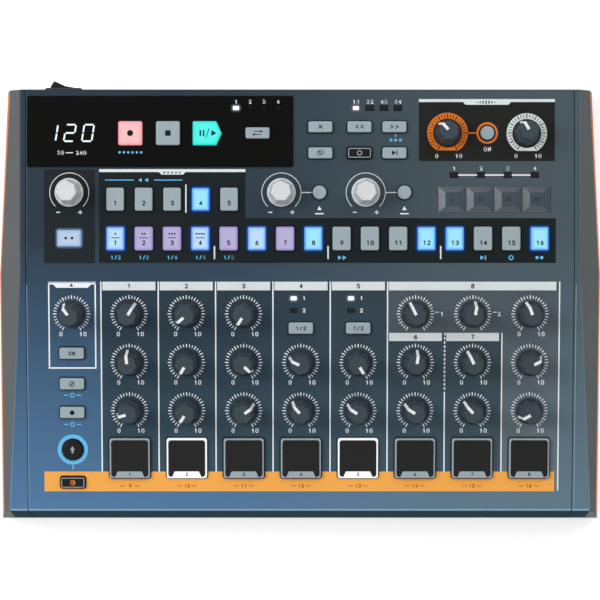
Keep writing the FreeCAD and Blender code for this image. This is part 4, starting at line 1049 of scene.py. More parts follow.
def gap_shadow_ring(name, outline, margin, zone, rise=0.0):
    """Painted shadow: the shade in the gap between a key and its opening, and a little round it."""
    ring = band_shape(outline, -GAP_REACH, margin - 0.03, GAP_LIFT + rise)
    ring.finish(name, GAP_SHADOW, "case", zone)


def make_key(name, outline, finish, body, zone="level", top=KEY_TOP, glow=None):
    cap = cap_shape(lambda inset: outline(inset + KEY_MARGIN), top)
    cap.finish(name, finish, body, zone, replaces=(body,))
    rise = (WINDOW_Z - PANEL_Z) * (top > KEY_TOP)
    if glow:
        spill = halo_shape(outline, 1.0, GROUND_LIFT * 2 + rise)
        spill.finish(name + "_halo", glow, "case", zone)
    else:
        gap_shadow_ring(name + "_gap", outline, KEY_MARGIN, zone, rise)


def build_step_keys():
    finishes = {"p": (PALE_KEY, BLUE_HALO), "v": (VIOLET_KEY, None),
                "c": (CYAN_KEY, BLUE_HALO), "g": (KEY, None)}
    for index, state in enumerate(STEP_STATES):
        finish, glow = finishes[state]
        make_key("step_key_%02d" % (index + 1), block_outline(step_x(index), STEP_Y, *STEP_KEY),
                 finish, "step_keys", glow=glow)


def build_mode_keys():
    for index in range(5):
        finish, glow = (CYAN_KEY, BLUE_HALO) if index == LIT_MODE else (KEY, None)
        make_key("mode_key_%d" % (index + 1), block_outline(mode_x(index), MODE_Y, *MODE_KEY),
                 finish, "mode_keys", glow=glow)


def build_transport_keys():
    for name, x, finish in (("record", RECORD_X, PINK_KEY), ("stop", STOP_X, KEY)):
        outline = block_outline(x, TRANSPORT_Y, TRANSPORT_SIZE, TRANSPORT_SIZE)
        make_key(name + "_key", outline, finish, name + "_button", top=WINDOW_KEY_TOP)
    half = TRANSPORT_SIZE / 2
    corners = [(PLAY_LEFT, TRANSPORT_Y - half), (PLAY_SHOULDER, TRANSPORT_Y - half),
               (PLAY_TIP, TRANSPORT_Y), (PLAY_SHOULDER, TRANSPORT_Y + half),
               (PLAY_LEFT, TRANSPORT_Y + half)]
    make_key("play_key", cornered(corners, 0.9), GREEN_KEY, "play_button", top=WINDOW_KEY_TOP)


SYNC = (-21.6, 85.7)
EDIT_XS = (10.4, 30.3, 48.1)
EDIT_REAR_Y = 88.9
EDIT_FRONT_Y = 75.6
TAP = (-117.6, 32.2)
ROUND_KEYS = ((9.9, 55.5), (53.2, 55.5), (95.4, 85.8))
ROUND_KEY_R = 3.75


def build_function_keys():
    make_key("sync_key", block_outline(*SYNC, *SMALL_KEY), KEY, "function_keys",
             top=WINDOW_KEY_TOP)
    for x in EDIT_XS:
        for row, y in (("rear", EDIT_REAR_Y), ("front", EDIT_FRONT_Y)):
            dark = x == EDIT_XS[1] and row == "front"
            make_key("edit_key_%d_%s" % (EDIT_XS.index(x) + 1, row),
                     block_outline(x, y, *SMALL_KEY), DARK_KEY if dark else KEY, "function_keys")
    make_key("tap_key", block_outline(*TAP, *TAP_KEY), TAP_LIT, "function_keys",
             glow=WHITE_HALO)
    for index, (x, y) in enumerate(ROUND_KEYS):
        make_key("round_key_%d" % (index + 1), round_outline(x, y, ROUND_KEY_R), KEY,
                 "function_keys")


ON_Y, MUTE_Y, SOLO_Y, SHIFT_Y, COLOUR_Y = -40.6, -56.3, -71.1, -90.4, -107.3
TYPE_Y = -27.7
SHIFT_R = 5.2


def build_channel_keys():
    for name, y, finish in (("on", ON_Y, KEY), ("mute", MUTE_Y, KEY), ("solo", SOLO_Y, KEY),
                            ("colour", COLOUR_Y, DARK_KEY)):
        make_key(name + "_key", block_outline(LEFT_COLUMN_X, y, *CHANNEL_KEY), finish,
                 "channel_keys", zone="slope")
    for index in (3, 4):
        make_key("type_key_%d" % (index - 2), block_outline(column(index), TYPE_Y, *CHANNEL_KEY),
                 KEY, "channel_keys", zone="slope")
    make_key("shift_cap", round_outline(LEFT_COLUMN_X, SHIFT_Y, SHIFT_R), DARK_KEY, "shift_key",
             zone="slope")


# Pads

def build_pad(index, name):
    x = column(index)
    rim = PAD_LIT if index in LIT_PADS else PAD_GREY
    outer = block_outline(x, PAD_Y, PAD_SIZE, PAD_SIZE, 1.5)
    frame_top = PAD_PROUD - 0.5
    border = cap_shape(lambda inset: outer(inset + PAD_MARGIN), frame_top, edge=0.4)
    border.finish(name + "_frame", rim, name, "slope", replaces=(name,))
    inner_size = PAD_SIZE - 2 * PAD_FRAME
    inner = block_outline(x, PAD_Y, inner_size, inner_size, 1.4)
    face = [(0.0, frame_top - 0.5), (0.0, PAD_PROUD - 0.3), (0.1, PAD_PROUD - 0.1),
            (0.3, PAD_PROUD), (1.2, PAD_PROUD - 0.06), (4.0, PAD_PROUD - 0.12)]
    rubber = stacked(inner, [(inset, height, 0.0) for inset, height in face])
    rubber.finish(name + "_rubber", RUBBER, name, "slope")
    low = PAD_Y - PAD_SIZE / 2 + 0.8
    tab = cornered([(x - 7.6, low), (x + 7.6, low), (x + 6.2, low + 3.2), (x - 6.2, low + 3.2)],
                   0.3, 3)
    plate = stacked(tab, [(0.0, frame_top - 0.3, 0.0), (0.0, PAD_PROUD, 0.0),
                          (0.12, PAD_PROUD, 0.0)])
    plate.finish(name + "_tab", rim, name, "slope")
    mark = Print(name + "_number", INK_BLACK, "slope", PAD_PROUD + 0.02)
    mark.text(str(index + 1), (x, low + 1.75), 1.7)
    mark.done(name)
    # Painted shadow round the pad's opening
    gap_shadow_ring(name + "_surround", outer, PAD_MARGIN, "slope")


# Touch strip

TOUCH_CENTRE = (99.0, 51.9)
TOUCH_SIZE = (57.2, 13.3)
TOUCH_RISE = 1.3
TOUCH_CELLS = 4
TOUCH_GAP = 0.2
TOUCH_FLAT = (7.0, 7.1)


def build_touch_strip():
    """Four raised cells side by side, each a low hill with a flat top."""
    centre_x, y = TOUCH_CENTRE
    width = TOUCH_SIZE[0] / TOUCH_CELLS
    strip = Shape()
    marks = Print("touch_marks", TOUCH_INK, lift=TOUCH_RISE + GROUND_LIFT)
    for index in range(TOUCH_CELLS):
        x = centre_x + (index - (TOUCH_CELLS - 1) / 2) * width
        cell = block_outline(x, y, width - TOUCH_GAP, TOUCH_SIZE[1], SHARP)(0.0)
        flat = block_outline(x, y, *TOUCH_FLAT, SHARP)
        foot, top = ring_at(cell, 0.0), ring_at(flat(0.0), TOUCH_RISE)
        strip.skin([ring_at(cell, KEY_LOW), foot], cap_low=False, cap_high=False)
        strip.skin([foot, top], cap_low=False, cap_high=False)
        strip.skin([top, ring_at(flat(0.3), TOUCH_RISE)], cap_low=False)
        for bar in range(index + 1):
            marks.bar(x + bar - index / 2, y, 0.44, 2.2)
    strip.finish("touch_cells", TOUCH, "case", "level", replaces=("touch_strip",))
    marks.done()


# Lamps

SOURCE_LAMPS = [(-32.6 + 7.13 * n, 98.5) for n in range(4)]
PAGE_LAMPS = [(28.5 + 7.13 * n, 98.5) for n in range(4)]
REPEAT_LAMPS = [(78.5 + 13.7 * n, 64.4) for n in range(4)]
TYPE_LAMPS = [(column(n) - 3.7, y) for n in (3, 4) for y in (-12.5, -18.8)]


def make_lamp(name, x, y, zone, light):
    """A dark bezel in the panel, and over it a bright lens where the lamp is lit."""
    bezel_top = LAMP_PROUD - 0.12
    bezel = button_shape(block_outline(x, y, *LAMP, 1.0), KEY_LOW, bezel_top)
    bezel.finish(name + "_bezel", LAMP_HIDDEN if zone == "window" else LAMP_OFF, "case", zone,
                 replaces=("indicator_lights",))
    if light:
        lens = button_shape(block_outline(x, y, *LENS, 0.6), 0.0, LAMP_PROUD)
        lens.finish(name + "_lens", light, "case", zone)
        glow = halo_shape(block_outline(x, y, *LENS, 0.6), 1.3, bezel_top + GROUND_LIFT)
        glow.finish(name + "_glow", WHITE_HALO, "case", zone)


def build_lamps():
    for group, places, zone, lit_ones, light in (
            ("source", SOURCE_LAMPS, "window", (0,), LAMP_WHITE),
            ("page", PAGE_LAMPS, "level", (0,), LAMP_PINK),
            ("repeat", REPEAT_LAMPS, "level", (), None),
            ("type", TYPE_LAMPS, "slope", (0, 2), LAMP_WHITE)):
        for index, (x, y) in enumerate(places):
            make_lamp("%s_lamp_%d" % (group, index + 1), x, y, zone,
                      light if index in lit_ones else None)


# Printed areas and lines

DIVIDER_WIDTH = 0.65
DIVIDER_SHIFT = 0.35
DASH_COUNT = 14
DASH_PITCH = 2.15
DASH_LENGTH = 1.3
DASHES_LOW_Y = -60.6
WIDE_LEFT = 44.6
LAST_LEFT = 102.9
SUB_TOP_Y = -30.2
COLUMN_TOP_Y = -3.9
COLUMN_LOW_Y = -101.8
LAST_DIVIDER_LOW_Y = -111.7
HEADER_LOW_Y = -8.4
HEADER_TOP_Y = -4.0
SUB_LOW_Y = -34.4

# Areas as left, low, right and high
BAND = (-131.3, -112.1, 130.6, COLUMN_LOW_Y)
MODE_GROUND = (-102.4, 42.4, -27.8, 67.4)
STEP_GROUND = (-102.4, 19.6, 130.4, 42.4)
OUTPUT_GROUND = (60.6, 71.5, 129.9, 103.1)
TEMPO_GROUND = (-130.4, 19.5, -104.5, 67.2)
METRONOME = (-128.5, -48.6, -104.1, COLUMN_TOP_Y)

# Tables of printed areas: name, ink, zone, lift and the areas
GROUNDS = (
    ("black_grounds", BLACK_PRINT, "level", GROUND_LIFT, (MODE_GROUND, STEP_GROUND)),
    ("output_ground", WARM_BLACK_PRINT, "level", GROUND_LIFT, (OUTPUT_GROUND,)),
    ("tempo_ground", SLATE_PRINT, "level", GROUND_LIFT, (TEMPO_GROUND,)),
    ("channel_grounds", OVERPRINT_AND_LIGHT, "slope", GROUND_LIFT,
     ((-101.0, COLUMN_LOW_Y, WIDE_LEFT, COLUMN_TOP_Y),
      (WIDE_LEFT, COLUMN_LOW_Y, LAST_LEFT, SUB_TOP_Y))),
    ("wide_channel_ground", WIDE_OVERPRINT_AND_LIGHT, "slope", GROUND_LIFT,
     ((WIDE_LEFT, SUB_TOP_Y, LAST_LEFT, COLUMN_TOP_Y),
      (LAST_LEFT, COLUMN_LOW_Y, 131.6, COLUMN_TOP_Y))),
    ("orange_band", INK_ORANGE, "slope", INK_LIFT, (BAND,)),
)
HEADERS = (
    ("channel_headers", INK_WHITE, "slope", INK_LIFT,
     [(column(n) - 13.5, HEADER_LOW_Y, column(n) + 13.6, HEADER_TOP_Y) for n in range(5)]
     + [(45.3, HEADER_LOW_Y, 130.7, HEADER_TOP_Y)]
     + [(left, SUB_LOW_Y, left + 27.0, SUB_TOP_Y) for left in (45.5, 74.7)]),
)
# Painted highlights: light lines on the edges beside the side seams and on the front edge
EDGE_HIGHLIGHTS = (
    ("seam_edges", SEAM_HIGHLIGHT, "level", GROUND_LIFT,
     [(x, 20.0, x + 0.22, 107.0) for x in (-139.5, 140.7)]),
    ("slope_edges", EDGE_HIGHLIGHT, "slope", GROUND_LIFT,
     [(x, -121.2, x + 0.3, -5.5) for x in (-139.5, 140.7)]
     + [(left, -122.1, right, -121.2)
        for left, right in ((-148.8, -140.2), (-139.5, 139.5), (140.2, 148.8))]),
)


def print_areas(table):
    for name, finish, zone, lift, rows in table:
        sheet = Print(name, finish, zone, lift)
        sheet.blocks(rows)
        sheet.done()


def print_dividers():
    lines = Print("channel_dividers", INK_LINE, "slope")
    for index in range(9):
        x = column(index) - COLUMN_PITCH / 2 + DIVIDER_SHIFT
        if index == 6:
            for dash in range(DASH_COUNT):
                lines.bar(x, SUB_TOP_Y - dash * DASH_PITCH - DASH_LENGTH / 2, 0.7, DASH_LENGTH)
        top = {6: DASHES_LOW_Y, 7: SUB_TOP_Y}.get(index, COLUMN_TOP_Y)
        low = LAST_DIVIDER_LOW_Y if index == 8 else COLUMN_LOW_Y
        lines.block(x - DIVIDER_WIDTH / 2, low, x + DIVIDER_WIDTH / 2, top)
    lines.done()


EDGE_BAR = 1.5


def print_edge_bar(sheet, area, tab, sloped, drop):
    """A bar along an area's rear edge, with the tab that hangs from it and carries its number."""
    left, _, right, high = area
    low = high - EDGE_BAR
    sheet.block(left, low, right, high)
    sheet.area([(tab[0] + sloped, low - drop), (tab[1] - sloped, low - drop), (tab[1], low),
                (tab[0], low)])


BIG_DIAL_XS = (-117.6, -9.5, 33.5)
BIG_DIAL_Y = 55.5


def print_frames():
    level = Print("level_white_bars", INK_WHITE)
    print_edge_bar(level, MODE_GROUND, (-71.9, -58.3), 1.3, 1.3)
    print_edge_bar(level, OUTPUT_GROUND, (83.1, 107.5), 1.3, 1.4)
    level.block(-58.5, 45.2, -57.8, 59.5)
    for x in (-43.6, 14.3, 71.7):
        level.bar(x, 24.9, 0.76, 6.6)
    level.blocks([(0.5, 55.25, 6.1, 55.75), (43.6, 55.25, 49.4, 55.75), (80.6, 64.0, 117.5, 64.8)])
    for x in BIG_DIAL_XS:
        level.arc((x, BIG_DIAL_Y), 9.8, 10.15, -136, 136)
    level.done()
    slope = Print("metronome_frame", INK_LINE, "slope")
    slope.frame(*METRONOME, 0.7)
    print_edge_bar(slope, METRONOME, (-125.9, -106.6), 1.6, 1.7)
    slope.blocks([(x, -19.8, x + 2.0, -19.4) for x in (68.9, 98.4)])
    slope.done()


OUTPUT_KEY = ROUND_KEYS[2]
OUTPUT_DIALS = ((75.2, 85.8), (115.6, 85.6))


def print_rings():
    orange = Print("distortion_ring", INK_RING_ORANGE)
    orange.arc(OUTPUT_DIALS[0], 7.4, 10.35, flat=8.9)
    orange.block(85.0, 85.45, 90.0, 86.15)
    orange.arc(OUTPUT_KEY, 4.35, 5.5)
    orange.done()
    white = Print("master_ring", INK_WHITE)
    white.arc(OUTPUT_DIALS[1], 7.4, 10.3, flat=8.9)
    white.done()
    blue = Print("shift_ring", INK_BLUE, "slope")
    blue.arc((LEFT_COLUMN_X, SHIFT_Y), 5.9, 7.8)
    blue.bar(LEFT_COLUMN_X, SHIFT_Y - 9.0, 0.6, 2.8)
    blue.done()


def print_dials(dials):
    print_ticks("dial_ticks_slope", dials["slope"], INK_LINE, "slope")
    print_ticks("dial_ticks_output", dials["level"], INK_BLACK, "level", radius=8.8,
                lengths=(1.7, 2.1), widths=(0.34, 0.5), lift=TEXT_LIFT)


# Numerals and signs

DIAL_END = 5.6
LEVEL_TEXT = 2.2
SIGN_Y = 45.4


def print_dial_ends(sheet, x, y, height):
    """The numbers at both ends of a dial."""
    sheet.text("0", (x - DIAL_END, y), height)
    sheet.text("10", (x + DIAL_END, y), height)


def print_numerals():
    slope = Print("dial_numerals", INK_LINE, "slope")
    for _, zone, centre, _ in turned_knobs():
        above_header = WIDE_LEFT < centre.x < LAST_LEFT and centre.y > SUB_TOP_Y
        if zone == "slope" and above_header:
            slope.text("1" if centre.x < column(5) + 1 else "2", (centre.x + 13.4, centre.y), 2.3)
        elif zone == "slope":
            print_dial_ends(slope, centre.x, centre.y - 10.3, 2.3)
    for index, (x, y) in enumerate(TYPE_LAMPS):
        slope.text(str(index % 2 + 1), (x + 5.3, y + 0.1), 2.1)
    slope.done()
    level = Print("level_numerals", INK_LINE)
    level.numbers([(x, y + 3.2) for x, y in PAGE_LAMPS], LEVEL_TEXT, 16, 16, 0.17)
    level.numbers([(x, y + 3.4) for x, y in REPEAT_LAMPS], LEVEL_TEXT)
    for x, _ in OUTPUT_DIALS:
        print_dial_ends(level, x, 74.1, LEVEL_TEXT)
    level.text("ON", (OUTPUT_KEY[0], 77.6), 2.3, 0.17)
    for x in BIG_DIAL_XS:
        for middle in (x - DIAL_END, x + DIAL_END):
            level.line((middle - 1.0, SIGN_Y), (middle + 1.0, SIGN_Y), 0.5)
        level.line((x + DIAL_END, SIGN_Y - 1.0), (x + DIAL_END, SIGN_Y + 1.0), 0.5)
    for x, _ in ROUND_KEYS[:2]:
        level.triangle((x, 47.2), 1.3, 0)
        level.bar(x, 44.7, 4.4, 0.6)
    level.done()
    window = Print("window_numerals", INK_LINE, "window")
    window.numbers([(x, y + 3.2) for x, y in SOURCE_LAMPS], 2.1)
    window.text("30", (-122.0, 75.7), 2.1)
    window.text("240", (-111.6, 75.7), 2.1)
    window.bar(-117.4, 75.7, 3.6, 0.4)
    window.done()


BAND_TEXT_Y = -109.3
HEADER_TEXT_Y = -6.2
HILL_HEIGHTS = (0.5, 1.0, 1.5, 2.0, 1.5, 1.0, 0.5)


def print_side_bars(sheet, x, y, offset, width, height):
    """Two short bars, one on each side of a sign."""
    for side in (-1, 1):
        sheet.bar(x + side * offset, y, width, height)


def print_header_numbers():
    dark = Print("header_numbers", INK_BLACK, "slope", TEXT_LIFT)
    dark.numbers([(column(n), HEADER_TEXT_Y) for n in range(5)], 2.4)
    for sign, place in (("8", (88.0, HEADER_TEXT_Y)), ("6", (59.0, -32.3)), ("7", (88.2, -32.3))):
        dark.text(sign, place, 2.4)
    dark.triangle((LEFT_COLUMN_X, -5.9), 1.1, 0)
    dark.done()
    level = Print("tab_numbers", INK_BLACK, "level", TEXT_LIFT)
    for index in range(5):
        level.disc((-65.2 + (index - 2) * 2.0, 65.6), 0.45)
    for index, height in enumerate(HILL_HEIGHTS):
        level.bar(94.8 + (index - 3) * 1.5, 101.5, 0.6, height)
    level.done()
    band = Print("band_numbers", INK_DEEP_ORANGE, "slope", TEXT_LIFT)
    for index in range(8):
        x = column(index)
        band.text(str(index + 9), (x, BAND_TEXT_Y), 1.9)
        print_side_bars(band, x, BAND_TEXT_Y, 3.8, 2.8, 0.4)
    band.done()


STEP_SIGN_Y = 22.3


def print_blue_signs():
    level = Print("blue_signs", INK_BLUE)
    for index, words in enumerate(("1/2", "1/3", "1/4", "1/6", "1/8")):
        level.text(words, (step_x(index), 22.4), 2.1)
    for offset in (-1.2, 1.2):
        level.triangle((step_x(8) + offset, STEP_SIGN_Y), 1.3, 90)
        level.disc((step_x(15) + offset, STEP_SIGN_Y), 0.85)
    level.triangle((step_x(13) - 0.6, STEP_SIGN_Y), 1.3, 90)
    level.bar(step_x(13) + 1.3, STEP_SIGN_Y, 0.6, 2.2)
    level.arc((step_x(14), STEP_SIGN_Y), 0.75, 1.25)
    level.blocks([(-99.4, 61.6, -84.6, 62.05), (-74.4, 61.6, -59.9, 62.05)])
    for x in (-81.3, -78.0):
        level.triangle((x, 61.8), 1.2, 270)
    level.block(48.4, 83.9, 49.0, 85.3)
    for x in (46.4, 48.8, 51.2):
        level.triangle((x, 82.2), 1.1, 90)
    level.done()
    window = Print("record_sign", INK_BLUE, "window")
    for index in range(6):
        window.disc((RECORD_X + (index - 2.5) * 2.2, 75.9), 0.6)
    window.done()
    slope = Print("slope_blue_signs", INK_BLUE, "slope")
    for y in (-62.3, -77.4):
        slope.arc((LEFT_COLUMN_X, y), 0.8, 1.25)
        print_side_bars(slope, LEFT_COLUMN_X, y, 3.3, 2.2, 0.5)
    slope.done()


# Lifts of the signs on keys
ON_KEY = KEY_TOP + GROUND_LIFT
ON_WINDOW_KEY = WINDOW_KEY_TOP + GROUND_LIFT


def print_step_legends():
    legends = Print("step_numbers", INK_NAVY, "level", ON_KEY)
    for index in range(16):
        x = step_x(index)
        legends.text(str(index + 1), (x, STEP_Y - 2.2), 2.4)
        if index < 4:
            legends.bar(x, STEP_Y + 0.35, 4.4, 0.4)
            for dot in range(index + 1):
                legends.disc((x + (dot - index / 2) * 1.3, STEP_Y + 2.4), 0.48)
    legends.done("step_keys")
    modes = Print("mode_signs", INK_NAVY, "level", ON_KEY)
    modes.numbers([(mode_x(n), MODE_Y - 2.0) for n in range(5)], 2.4)
    modes.done("mode_keys")


def print_transport_signs():
    record = Print("record_dot", INK_BLACK, "level", ON_WINDOW_KEY)
    record.disc((RECORD_X, TRANSPORT_Y), 1.55)
    record.done("record_button")
    stop = Print("stop_square", INK_BLACK, "level", ON_WINDOW_KEY)
    stop.bar(STOP_X, TRANSPORT_Y, 2.8, 2.8)
    stop.done("stop_button")
    play = Print("play_sign", INK_NAVY, "level", ON_WINDOW_KEY)
    for x in (-50.7, -49.0):
        play.bar(x, TRANSPORT_Y, 0.8, 3.0)
    play.line((-47.9, TRANSPORT_Y - 2.4), (-46.2, TRANSPORT_Y + 2.4), 0.4)
    play.triangle((-44.2, TRANSPORT_Y), 1.7, 90)
    play.done("play_button")


def print_function_signs():
    first_x, middle_x, last_x = EDIT_XS
    signs = Print("function_signs", INK_BLACK, "level", ON_KEY)
    signs.cross((first_x, EDIT_REAR_Y), 1.0, 0.45)
    signs.frame(first_x - 1.6, EDIT_FRONT_Y - 1.3, first_x + 0.5, EDIT_FRONT_Y + 0.8, 0.3)
    signs.frame(first_x - 0.6, EDIT_FRONT_Y - 0.7, first_x + 1.6, EDIT_FRONT_Y + 1.5, 0.3)
    for x, heading in ((middle_x, -1), (last_x, 1)):
        for offset in (-1.3, 1.3):
            tip, tail = x + offset + 0.7 * heading, x + offset - 0.9 * heading
            for rise in (0.9, -0.9):
                signs.line((tail, EDIT_REAR_Y + rise), (tip, EDIT_REAR_Y), 0.42)
    signs.triangle((last_x - 0.6, EDIT_FRONT_Y), 1.4, 90)
    signs.bar(last_x + 1.25, EDIT_FRONT_Y, 0.5, 2.6)
    for offset in (-1.6, 1.6):
        signs.disc((TAP[0] + offset, TAP[1]), 0.7)
    signs.done("function_keys")
    save = Print("save_sign", INK_GREY, "level", ON_KEY)
    save.arc((middle_x, EDIT_FRONT_Y), 0.9, 1.35)
    save.done("function_keys")
    sync = Print("sync_sign", INK_BLACK, "level", ON_WINDOW_KEY)
    for offset, heading in ((0.8, 90), (-0.8, 270)):
        y = SYNC[1] + offset
        sync.bar(SYNC[0], y, 3.6, 0.4)
        sync.triangle((SYNC[0] + math.copysign(2.0, offset), y), 0.8, heading)
    sync.done("function_keys")


def print_slope_key_signs():
    x = LEFT_COLUMN_X
    signs = Print("channel_signs", INK_BLACK, "slope", ON_KEY)
    signs.text("ON", (x, ON_Y), 2.1)
    signs.arc((x, MUTE_Y), 1.0, 1.4)
    signs.line((x - 1.0, MUTE_Y - 1.0), (x + 1.0, MUTE_Y + 1.0), 0.4)
    signs.disc((x, SOLO_Y), 1.2)
    for index in (3, 4):
        signs.text("1/2", (column(index), TYPE_Y), 2.1)
    signs.done("channel_keys")
    colour = Print("colour_sign", INK_RING_ORANGE, "slope", ON_KEY)
    colour.arc((x, COLOUR_Y), 0.9, 1.35)
    colour.arc((x, COLOUR_Y), 0.0, 0.95, 0, 180)
    colour.done("channel_keys")
    shift = Print("shift_sign", INK_GREY, "slope", ON_KEY)
    shift.triangle((x, SHIFT_Y + 0.6), 1.5, 0)
    shift.bar(x, SHIFT_Y - 0.95, 1.0, 1.5)
    shift.done("shift_key")


def print_key_outlines():
    """Thin grey lines round the dark keys."""
    for name, x, y, size, body, zone in (
            ("save_outline", EDIT_XS[1], EDIT_FRONT_Y, SMALL_KEY, "function_keys", "level"),
            ("colour_outline", LEFT_COLUMN_X, COLOUR_Y, CHANNEL_KEY, "channel_keys", "slope")):
        outline = block_outline(x, y, size[0] - 0.5, size[1] - 0.5, 1.0)
        line = band_shape(outline, 0.35, 0.75, ON_KEY)
        line.finish(name, INK_GREY, body, zone)


# The lit number display: three slanted seven-bar digits

DIGIT_SIZE = (5.0, 8.4)
DIGIT_CENTRES = (-123.9, -117.2, -108.0)
DIGIT_Y = 85.8
DIGIT_SLANT = 0.16
DIGIT_BAR = 0.8
DIGIT_GAP = 0.35
SEGMENTS = {"1": "bc", "2": "abged", "0": "abcdef"}


def digit_bars(digit, x):
    """The bars of one digit as (start, end) points before they are slanted."""
    half_w, half_h = DIGIT_SIZE[0] / 2, DIGIT_SIZE[1] / 2
    corners = {"tl": (-half_w, half_h), "tr": (half_w, half_h), "ml": (-half_w, 0),
               "mr": (half_w, 0), "bl": (-half_w, -half_h), "br": (half_w, -half_h)}
    ends = {"a": ("tl", "tr"), "b": ("tr", "mr"), "c": ("mr", "br"), "d": ("bl", "br"),
            "e": ("ml", "bl"), "f": ("tl", "ml"), "g": ("ml", "mr")}
    bars = []
    for segment in SEGMENTS[digit]:
        start, end = (Vector(corners[name]) for name in ends[segment])
        along = (end - start).normalized() * DIGIT_GAP
        bars.append((start + along + Vector((x, 0)), end - along + Vector((x, 0))))
    return bars


def print_digits():
    display = Print("tempo_digits", DIGIT_LIGHT, "window")
    for digit, x in zip("120", DIGIT_CENTRES):
        shift = -DIGIT_SIZE[0] / 2 if digit == "1" else 0.0
        for start, end in digit_bars(digit, x + shift):
            slanted = [Vector((p.x + p.y * DIGIT_SLANT, p.y + DIGIT_Y)) for p in (start, end)]
            display.line(slanted[0], slanted[1], DIGIT_BAR)
    display.done()


# Rear and underside

JACK_XS = (-4.0, 22.0, 48.0, 74.0, 100.0, 124.0)
REAR_PLANE_Y = 107.8


def print_rear():
    """Numbers under the rear jacks, on the plane of the connector bay."""
    ZONES["rear"] = Matrix.Translation((0, REAR_PLANE_Y, 0)) @ Matrix.Rotation(math.pi, 4, "Z") \
        @ Matrix.Rotation(math.pi / 2, 4, "X")
    marks = Print("rear_numbers", INK_WHITE, "rear")
    marks.numbers([(-x, 13.4) for x in JACK_XS], 2.4, len(JACK_XS), -1)
    for x in (34.0, 20.0):
        marks.triangle((x, 13.4), 1.1, 90)
    for words, x, z in (("9 V", 108.0, 15.6), ("1", 78.0, 12.6), ("2", 54.0, 12.6),
                        ("0", 116.4, 31.6), ("1", 128.2, 31.6)):
        marks.text(words, (x, z), 2.0)
    marks.done()


SCREW_HEAD_R = 2.6
SCREW_PLACES = ((-129.0, 70.0), (-60.0, 72.0), (-4.0, 77.0), (128.0, 76.0), (-129.0, 21.3),
                (-43.6, 21.3), (57.2, 21.3), (129.0, 21.3), (-127.0, -100.0), (-43.4, -41.0),
                (44.3, -41.0), (127.0, -100.0), (-149.0, 90.0), (-149.0, 0.0), (-149.0, -80.0),
                (149.0, 90.0), (149.0, 0.0), (149.0, -80.0))


def screw_head_mesh():
    """A pan head seen from below, with a cross recess sunk into it."""
    arm, half, depth = 1.5, 0.38, 0.8
    cross = [(half, half), (half, arm), (-half, arm), (-half, half), (-arm, half), (-arm, -half),
             (-half, -half), (-half, -arm), (half, -arm), (half, -half), (arm, -half), (arm, half)]
    rim = []
    for x, y in cross:
        angle = math.atan2(y, x)
        rim.append((SCREW_HEAD_R * math.cos(angle), SCREW_HEAD_R * math.sin(angle)))
    shape = Shape()
    deep = [(x * 0.7, y * 0.7, depth) for x, y in cross]
    shape.skin([ring_at(rim, 0.35), [(x * 0.92, y * 0.92, 0.03) for x, y in rim],
                ring_at(cross, 0.0), deep], cap_low=False)
    mesh = bpy.data.meshes.new("screw_head")
    mesh.from_pydata([tuple(point) for point in shape.points], [], shape.faces)
    mesh.flip_normals()
    return mesh


def build_screw_heads():
    original = bpy.data.objects.new("screw_head_pattern", screw_head_mesh())
    base = node_box("base_shell")[0].z
    places = [(x, y, base - 0.02) for x, y in SCREW_PLACES]
    mesh = grown("screw_heads", places, COPY_TREE,
                 {"Original": original, "Finish": STEEL.material})
    make_piece("screw_heads", mesh, STEEL, "case")
    bpy.data.objects.remove(original)


# Stage

CAMERA_HEIGHT = 1145.0
CAMERA_Y = 0.7
CAMERA_LENS = 129.5
FLOOR_GLOW = 0.5
FLOOR_REACH = 4.0
SENSOR_WIDTH = 36.0
SKY_STRENGTH = 0.36

# Lamps of the studio: name, place, size and power, in metres and watts
SOFTBOXES = (("left", (-1.05, 0.3, 1.15), (0.8, 0.8), 12.0),
             ("right", (1.05, 0.95, 1.2), (0.9, 0.9), 7.0),
             ("rear", (-0.2, 1.3, 1.3), (1.2, 0.7), 3.5),
             ("front", (0.0, -1.3, 1.3), (1.2, 0.7), 3.0))


def build_camera():
    camera = bpy.data.cameras.new("camera")
    camera.lens = CAMERA_LENS
    camera.sensor_width = SENSOR_WIDTH
    holder = bpy.data.objects.new("camera", camera)
    holder.location = (0, CAMERA_Y * MM, CAMERA_HEIGHT * MM)
    bpy.context.scene.collection.objects.link(holder)
    bpy.context.scene.camera = holder
    bpy.context.scene.view_settings.view_transform = "Standard"


def add_softbox(name, place, size, power):
    light = bpy.data.lights.new(name, "AREA")
    light.shape = "RECTANGLE"
    light.size, light.size_y = size
    light.energy = power
    holder = bpy.data.objects.new(name, light)
    holder.location = place
    holder.rotation_euler = (-Vector(place)).to_track_quat("-Z", "Y").to_euler()
    bpy.context.scene.collection.objects.link(holder)


def build_lights():
    for name, place, size, power in SOFTBOXES:
        add_softbox(name + "_softbox", place, size, power)
    world = bpy.data.worlds.new("studio")
    world.use_nodes = True
    background = world.node_tree.nodes["Background"]
    background.inputs["Color"].default_value = (1, 1, 1, 1)
    background.inputs["Strength"].default_value = SKY_STRENGTH
    bpy.context.scene.world = world


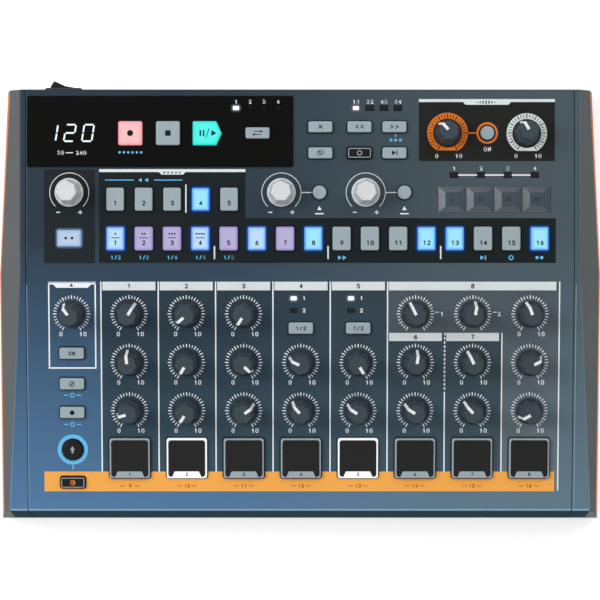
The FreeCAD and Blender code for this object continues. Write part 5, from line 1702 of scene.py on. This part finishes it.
def build_floor():
    """A pale floor that keeps the object's shadow and reads as white to the camera."""
    mesh = bpy.data.meshes.new("floor")
    corners = [(x * FLOOR_REACH, y * FLOOR_REACH, 0) for x, y in ((-1, -1), (1, -1), (1, 1), (-1, 1))]
    mesh.from_pydata(corners, [], [(0, 1, 2, 3)])
    floor = bpy.data.objects.new("floor", mesh)
    bpy.context.scene.collection.objects.link(floor)
    material = bpy.data.materials.new("pale_floor")
    material.use_nodes = True
    tree = material.node_tree
    shader = tree.nodes["Principled BSDF"]
    shader.inputs["Base Color"].default_value = (0.86, 0.86, 0.86, 1)
    shader.inputs["Roughness"].default_value = 0.9
    shader.inputs["Specular IOR Level"].default_value = 0.1
    shader.inputs["Emission Color"].default_value = (1, 1, 1, 1)
    rays = tree.nodes.new("ShaderNodeLightPath").outputs
    seen = math_node(tree, "ADD", rays["Is Camera Ray"], rays["Is Glossy Ray"])
    seen = math_node(tree, "ADD", seen, rays["Is Transmission Ray"])
    tree.links.new(math_node(tree, "MULTIPLY", seen, FLOOR_GLOW), shader.inputs["Emission Strength"])
    side = tree.nodes.new("ShaderNodeNewGeometry").outputs["Backfacing"]
    open_below = tree.nodes.new("ShaderNodeMixShader")
    tree.links.new(side, open_below.inputs[0])
    tree.links.new(shader.outputs[0], open_below.inputs[1])
    tree.links.new(tree.nodes.new("ShaderNodeBsdfTransparent").outputs[0], open_below.inputs[2])
    tree.links.new(open_below.outputs[0], tree.nodes["Material Output"].inputs["Surface"])
    mesh.materials.append(material)


def finish_cad_nodes():
    for node, finish in CAD_FINISHES.items():
        carrier = frame["nodes"][node]
        for slot in carrier.material_slots:
            slot.material = finish.material


finish_cad_nodes()
print_dials(build_knobs())
build_step_keys()
build_mode_keys()
build_transport_keys()
build_function_keys()
build_channel_keys()
for pad_index, pad_name in enumerate(PAD_NAMES):
    build_pad(pad_index, pad_name)
build_touch_strip()
build_lamps()
print_areas(GROUNDS)
print_dividers()
print_areas(HEADERS)
print_frames()
# Painted highlights on the panel's edges
print_areas(EDGE_HIGHLIGHTS)
print_rings()
print_numerals()
print_header_numbers()
print_blue_signs()
print_step_legends()
print_transport_signs()
print_function_signs()
print_slope_key_signs()
print_key_outlines()
print_digits()
print_rear()
build_screw_heads()
build_floor()
build_camera()
build_lights()
